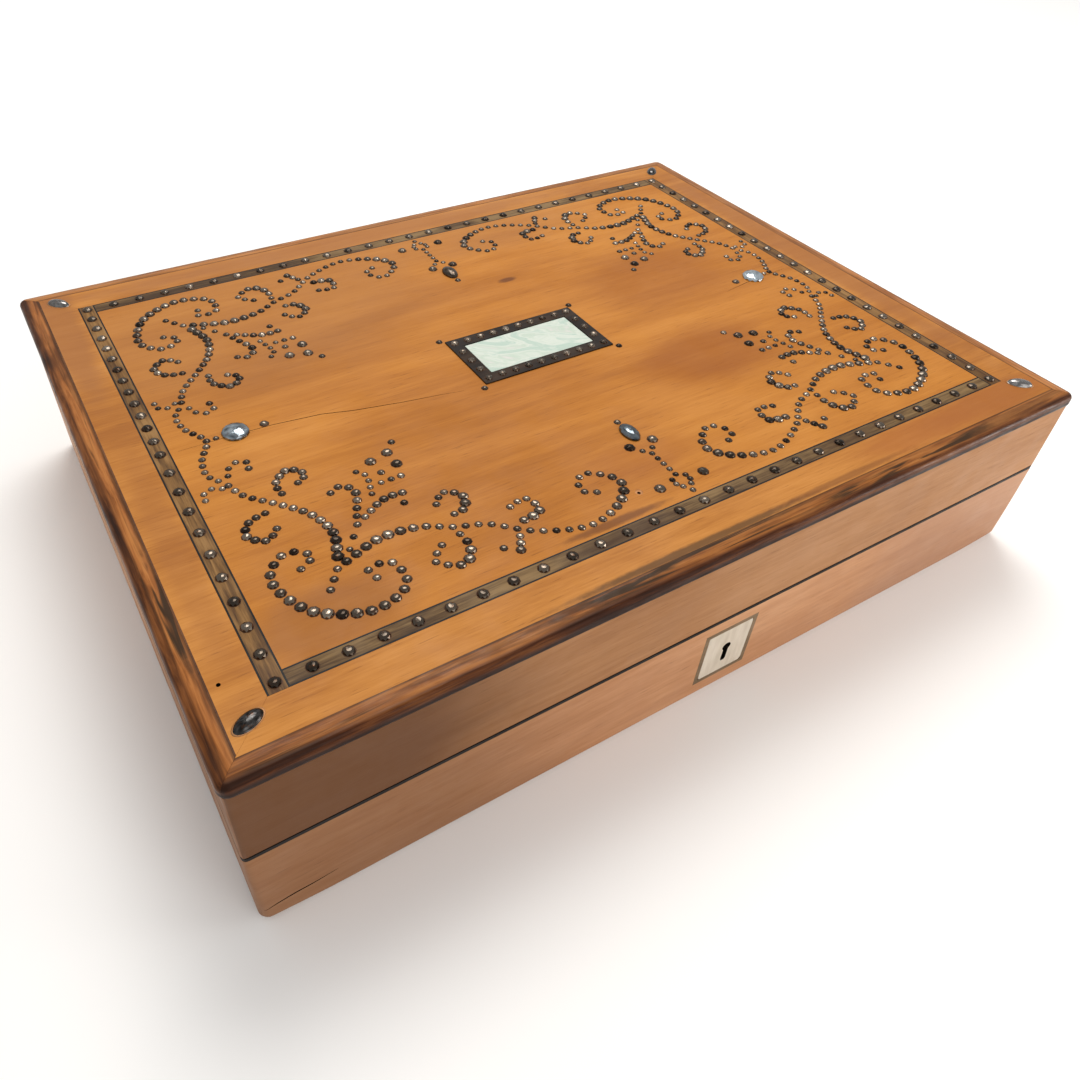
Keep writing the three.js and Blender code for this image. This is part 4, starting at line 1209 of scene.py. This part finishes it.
round_jewel = extent("jewel_left")[1]
drop_width, drop_length, _ = extent("jewel_front")
jewel_places = {side: (low(f"jewel_{side}") + high(f"jewel_{side}"))[:2] / 2 for side in SIDES}
all_studs = []
for mirror_x, mirror_y in ((-1, -1), (1, -1), (-1, 1), (1, 1)):
    all_studs += [along_line(scroll) * (mirror_x, mirror_y, 1) for scroll in SCROLLS]
for mirror in (-1, 1):
    all_studs += [along_line(scroll) * (mirror, 1, 1) for scroll in SIDE_MIDDLE]
    all_studs += [along_line(scroll) * (1, mirror, 1) for scroll in END_MIDDLE]
    pin_x, pin_y = plaque_half_x + PIN_OFFSET, mirror * (plaque_half_y + PIN_OFFSET)
    all_studs.append(np.array([[-pin_x, pin_y, SMALL], [pin_x, pin_y, SMALL]]))
jewels = [(*jewel_places[side], round_jewel if side in ("left", "right") else drop_length)
          for side in SIDES]
field_studs = without_clashes(np.vstack(all_studs), jewels)
print("studs on the field:", len(field_studs))

# %% [markdown]
# A stud is a small rose cut: rings of facets under a point, each ring turned half a step against the
# last. One stud is worked out once, then copied to every place in whole arrays, each with its own
# width, turn and slight lean, because no two were driven in quite the same. A dark skirt lies round its
# foot: polish gathered where a polishing cloth never reaches, and painted contact shadow.

# %% Stud shape
# radius and height of the rings and the point, as shares of the stud's radius
ROSE = [(1.14, 0.01), (1.0, 0.03), (0.84, 0.36), (0.44, 0.56), (0, 0.62)]
FACETS = 8
LEAN = 0.08


def rose(rings, count):
    """Points and triangles of rings of facets that close in a point, and the band of each triangle.

    Ring k has count points at the angles (i + (k mod 2)/2) 2 pi / count.
    """
    i = np.arange(count)
    j = (i + 1) % count
    loops = []
    for k, (radius, height) in enumerate(rings[:-1]):
        turned = (i + (k % 2) / 2) * 2 * np.pi / count
        loops.append(np.stack([radius * np.cos(turned), radius * np.sin(turned), np.full(count, height)], 1))
    faces, bands = [], []
    for k in range(len(loops) - 1):
        a, b = k * count, (k + 1) * count
        tip, foot = (b + i, a + j) if k % 2 == 0 else (b + j, a + i)
        faces += [np.stack([a + i, a + j, tip], 1), np.stack([foot, b + j, b + i], 1)]
        bands += [k] * 2 * count
    top = (len(loops) - 1) * count
    faces.append(np.stack([top + i, top + j, np.full(count, top + count)], 1))
    faces.append(np.stack([np.zeros(count - 2, int), i[2:], i[1:-1]], 1))
    bands += [len(loops)] * count + [0] * (count - 2)
    return np.vstack([*loops, [[0, 0, rings[-1][1]]]]), np.vstack(faces), np.array(bands)


def stud_field(name, studs, z, seed, dark=3.0, grow=1.12):
    """All studs of one group as one mesh, with a tone for each stud.

    dark pulls the tones down, and grow widens the studs beyond their solids.
    """
    rng = np.random.default_rng(seed)
    points, faces, bands = rose(ROSE, FACETS)
    count = len(studs)
    turn_by = rng.uniform(0, 2 * np.pi, count)
    lean_x, lean_y = rng.normal(0, LEAN, (2, count))
    c, s = np.cos(turn_by)[:, None], np.sin(turn_by)[:, None]
    x = points[:, 0] * c - points[:, 1] * s
    y = points[:, 0] * s + points[:, 1] * c
    raised = points[None, :, 2] * (1 + lean_x[:, None] * x + lean_y[:, None] * y)
    radius = studs[:, 2:3] / 2 * grow
    places = np.stack([studs[:, 0:1] + x * radius, studs[:, 1:2] + y * radius, z + raised * radius], -1)
    offset = (np.arange(count) * len(points))[:, None, None]
    # the skirt's faces get the dark seat material: polish and painted contact shadow
    mesh = make_mesh(name, places.reshape(-1, 3), (faces[None] + offset).reshape(-1, 3),
                     [stud_steel, grime_and_shade], np.tile(np.where(bands == 0, 1, 0), count))
    set_points(mesh, "tone", np.repeat(rng.beta(1.3, dark, count), len(points)))
    return place(name, mesh, "lid")


stud_field("field_studs", field_studs, lid_top, 11)

# %% [markdown]
# The studs on the dark strips stand in plain rows. On the left strip the spacing changes half way, as
# if another hand had finished it.

# %% Studs on the strips
LEFT_PITCHES = (9.2 * MM, 7.2 * MM)  # front half, back half
RIGHT_PITCH = 8.1 * MM
LONG_PITCH = 9.3 * MM


def even_row(start, end, pitch):
    """Places from start to end, both included, at about the given pitch."""
    gaps = max(1, round(abs(end - start) / pitch))
    return np.linspace(start, end, gaps + 1)


def changing_row(start, end, first_pitch, second_pitch):
    """A row whose second half has another pitch."""
    middle = (start + end) / 2
    return np.r_[even_row(start, middle, first_pitch), even_row(middle, end, second_pitch)[1:]]


def row_of(x, y, width):
    """Studs of one width: x or y may be a row of places, and the other one number."""
    x, y = np.broadcast_arrays(x, y)
    return np.stack([x, y, np.full(x.shape, width)], 1)


row_x, row_y = field_x + strip_width / 2, field_y + strip_width / 2
left_row = changing_row(-row_y, row_y, *LEFT_PITCHES)
right_row = changing_row(-row_y, row_y, RIGHT_PITCH, RIGHT_PITCH)
long_row = even_row(-row_x, row_x, LONG_PITCH)[1:-1]
strip_studs = np.vstack([row_of(-row_x, left_row, STRIP_STUD), row_of(row_x, right_row, STRIP_STUD),
                         row_of(long_row, -row_y, STRIP_STUD), row_of(long_row, row_y, STRIP_STUD)])
stud_field("strip_studs", strip_studs, lid_top, 23, dark=3.6, grow=1.0)
print("studs on the strips:", len(strip_studs))

# %% [markdown]
# The plaque is a sheet of shell in four mitred lengths of dark wood, with a row of small studs down the
# middle of each. The rows share a stud at each corner.

# %% Plaque
FRAME_WIDTH = 5 * MM
FRAME_THICKNESS = 1.2 * MM
FRAME_PITCH = 5.6 * MM
PLAQUE_ARRIS = 0.12  # millimetres
plaque_mesh = block_mesh("plaque", low("pearl_plaque"), high("pearl_plaque"), [shell])
soften(place("plaque", plaque_mesh, "lid", ["pearl_plaque"]), PLAQUE_ARRIS)
frame_inner = high("plaque_frame_back")[:2] - FRAME_WIDTH
frame_top = seat_z + FRAME_THICKNESS
for side in SIDES:
    flat_bar(f"plaque_frame_{side}_wood", side, *frame_inner, [FRAME_WIDTH], [frame_wood],
             "ebonised_wood", [f"plaque_frame_{side}"], frame_top, seat_z)
middle_x, middle_y = frame_inner + FRAME_WIDTH / 2
frame_row_x = even_row(-middle_x, middle_x, FRAME_PITCH)
frame_row_y = even_row(-middle_y, middle_y, FRAME_PITCH)[1:-1]
frame_studs = [row_of(frame_row_x, mirror * middle_y, SMALL) for mirror in (-1, 1)]
frame_studs += [row_of(mirror * middle_x, frame_row_y, SMALL) for mirror in (-1, 1)]
stud_field("plaque_studs", np.vstack(frame_studs), frame_top, 31, dark=2.0, grow=1.4)
print("studs on the plaque's frame:", sum(map(len, frame_studs)))

# %% [markdown]
# The large jewels are cut like the studs, with more rings and facets. Two are round, and two are long
# and point at the plaque. They are cleaner than the studs, all but the one at the back.

# %% Jewels


def oval(name, xy, length_x, length_y, turn_by, height, rings, count, material, skirt, replaced, tones,
         smooth=False):
    """A rose stretched to an ellipse. The first band of its facets is a skirt of another material."""
    points, faces, bands = rose(rings, count)
    c, s = math.cos(turn_by), math.sin(turn_by)
    x, y = points[:, 0] * length_x / 2, points[:, 1] * length_y / 2
    turned = np.stack([xy[0] + x * c - y * s, xy[1] + x * s + y * c, lid_top + points[:, 2] * height], 1)
    mesh = make_mesh(name, turned, faces, [material, skirt], np.where(bands == 0, 1, 0), smooth=smooth)
    rng = np.random.default_rng(count + len(name))
    set_points(mesh, "tone", rng.uniform(*tones, len(points)))
    return place(name, mesh, "lid", replaced)


JEWEL = [(1.0, 0.0), (0.98, 0.34), (0.84, 0.62), (0.58, 0.86), (0.3, 0.98), (0, 1.0)]
JEWEL_TONES = {"front": (0.0, 0.3), "right": (0.35, 1.0), "back": (0.0, 0.3), "left": (0.0, 0.75)}
JEWEL_FACETS = 12
jewel_height = extent("jewel_left")[2]
for side in SIDES:
    sizes = (round_jewel, round_jewel) if side in ("left", "right") else (drop_width, drop_length)
    metal = stud_steel if side == "back" else jewel_steel
    oval(f"{side}_jewel", jewel_places[side], *sizes, 0.0, jewel_height, JEWEL, JEWEL_FACETS, metal,
         metal, [f"jewel_{side}"], JEWEL_TONES[side])
print("jewels are", round(round_jewel / MM, 1), "mm across")

# %% [markdown]
# The corner studs are smooth black ovals that lie across the corners, each turned a little differently.
# Their skirt is the veneer round them, rubbed pale.

# %% Corner studs
DOME = [(1.12, 0.01), (1.0, 0.04), (0.93, 0.4), (0.74, 0.72), (0.45, 0.93), (0.18, 0.99), (0, 1.0)]
DOME_FACETS = 24
CORNER_LENGTH, CORNER_WIDTH = 8.2 * MM, 4.4 * MM
CORNERS = {"front_left": (22, (0.0, 0.2)), "front_right": (-42, (0.3, 1.0)),
           "back_left": (-45, (0.2, 0.7)), "back_right": (48, (0.0, 0.4))}  # degrees from X, tones
for name, (degrees, tones) in CORNERS.items():
    solid = f"corner_stud_{name}"
    oval(f"oval_stud_{name}", (low(solid) + high(solid))[:2] / 2, CORNER_LENGTH, CORNER_WIDTH,
         math.radians(degrees), extent(solid)[2], DOME, DOME_FACETS, black_steel, rubbed_wood,
         [solid], tones, smooth=True)
print("corner studs:", len(CORNERS))

# %% [markdown]
# Some pieces are already right as solids: the edging, the board under the veneers, the hinges and the
# lock. They keep their solids and only get a finish.

# %% Finishes on the kept solids


def finish(node_name, material):
    """Gives a kept CAD node its material."""
    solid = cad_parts[node_name]
    solid.data.materials.clear()
    solid.data.materials.append(material)


for side in SIDES:
    finish(f"base_edging_{side}", black_wood)
finish("lid_board", plain_wood)
for name in ("lock", "lock_link_plate", "hinge_left_lower_leaf", "hinge_left_upper_leaf",
             "hinge_right_lower_leaf", "hinge_right_upper_leaf"):
    finish(name, brass)
print("finishes in all:", len(bpy.data.materials))

# %% [markdown]
# A pale floor and soft light from large lamps stand in for the studio. The main light comes from behind
# on the right, as the pale sheen on the far side of the lid shows. A low lamp at the right front makes
# the front lighter towards that end.

# %% Floor and light
FLOOR_REACH = 6.0  # metres from the middle
floor_mesh = bpy.data.meshes.new("floor")
floor_corners = [(x * FLOOR_REACH, y * FLOOR_REACH, 0) for x, y in ((-1, -1), (1, -1), (1, 1), (-1, 1))]
floor_mesh.from_pydata(floor_corners, [], [(0, 1, 2, 3)])
floor_material, _, floor_shader = start_material("pale_floor", 0.9)
floor_shader.inputs["Base Color"].default_value = colour(250, 249, 247)
floor_mesh.materials.append(floor_material)
floor = bpy.data.objects.new("floor", floor_mesh)
bpy.context.scene.collection.objects.link(floor)


def lamp(name, place_at, target, size, power, tint):
    """A square soft lamp that looks at a point and isn't seen itself. Lengths in metres, power in watts."""
    data = bpy.data.lights.new(name, "AREA")
    data.shape = "SQUARE"
    data.size = size
    data.energy = power
    data.color = tint
    made = bpy.data.objects.new(name, data)
    bpy.context.scene.collection.objects.link(made)
    direction = Vector(target) - Vector(place_at)
    aim = direction.to_track_quat("-Z", "Y").to_matrix().to_4x4()
    made.matrix_world = Matrix.Translation(place_at) @ aim
    made.visible_camera = False


lamp("key", (0.35, 0.6, 1.4), (0, 0, 0.05), 0.8, 15, (1.0, 0.98, 0.95))
lamp("fill", (0.3, -1.4, 0.9), (0, 0, 0.03), 1.0, 4.5, (1.0, 0.98, 0.96))
lamp("low_right", (0.5, -0.42, 0.10), (0.1, -0.1, 0.03), 0.2, 1.2, (1.0, 0.95, 0.90))
world = bpy.data.worlds.new("studio")
world.use_nodes = True
world.node_tree.nodes["Background"].inputs["Color"].default_value = (1, 1, 1, 1)
world.node_tree.nodes["Background"].inputs["Strength"].default_value = 0.6
bpy.context.scene.world = world
bpy.context.scene.view_settings.view_transform = "Standard"
print("lamps:", len(bpy.data.lights))
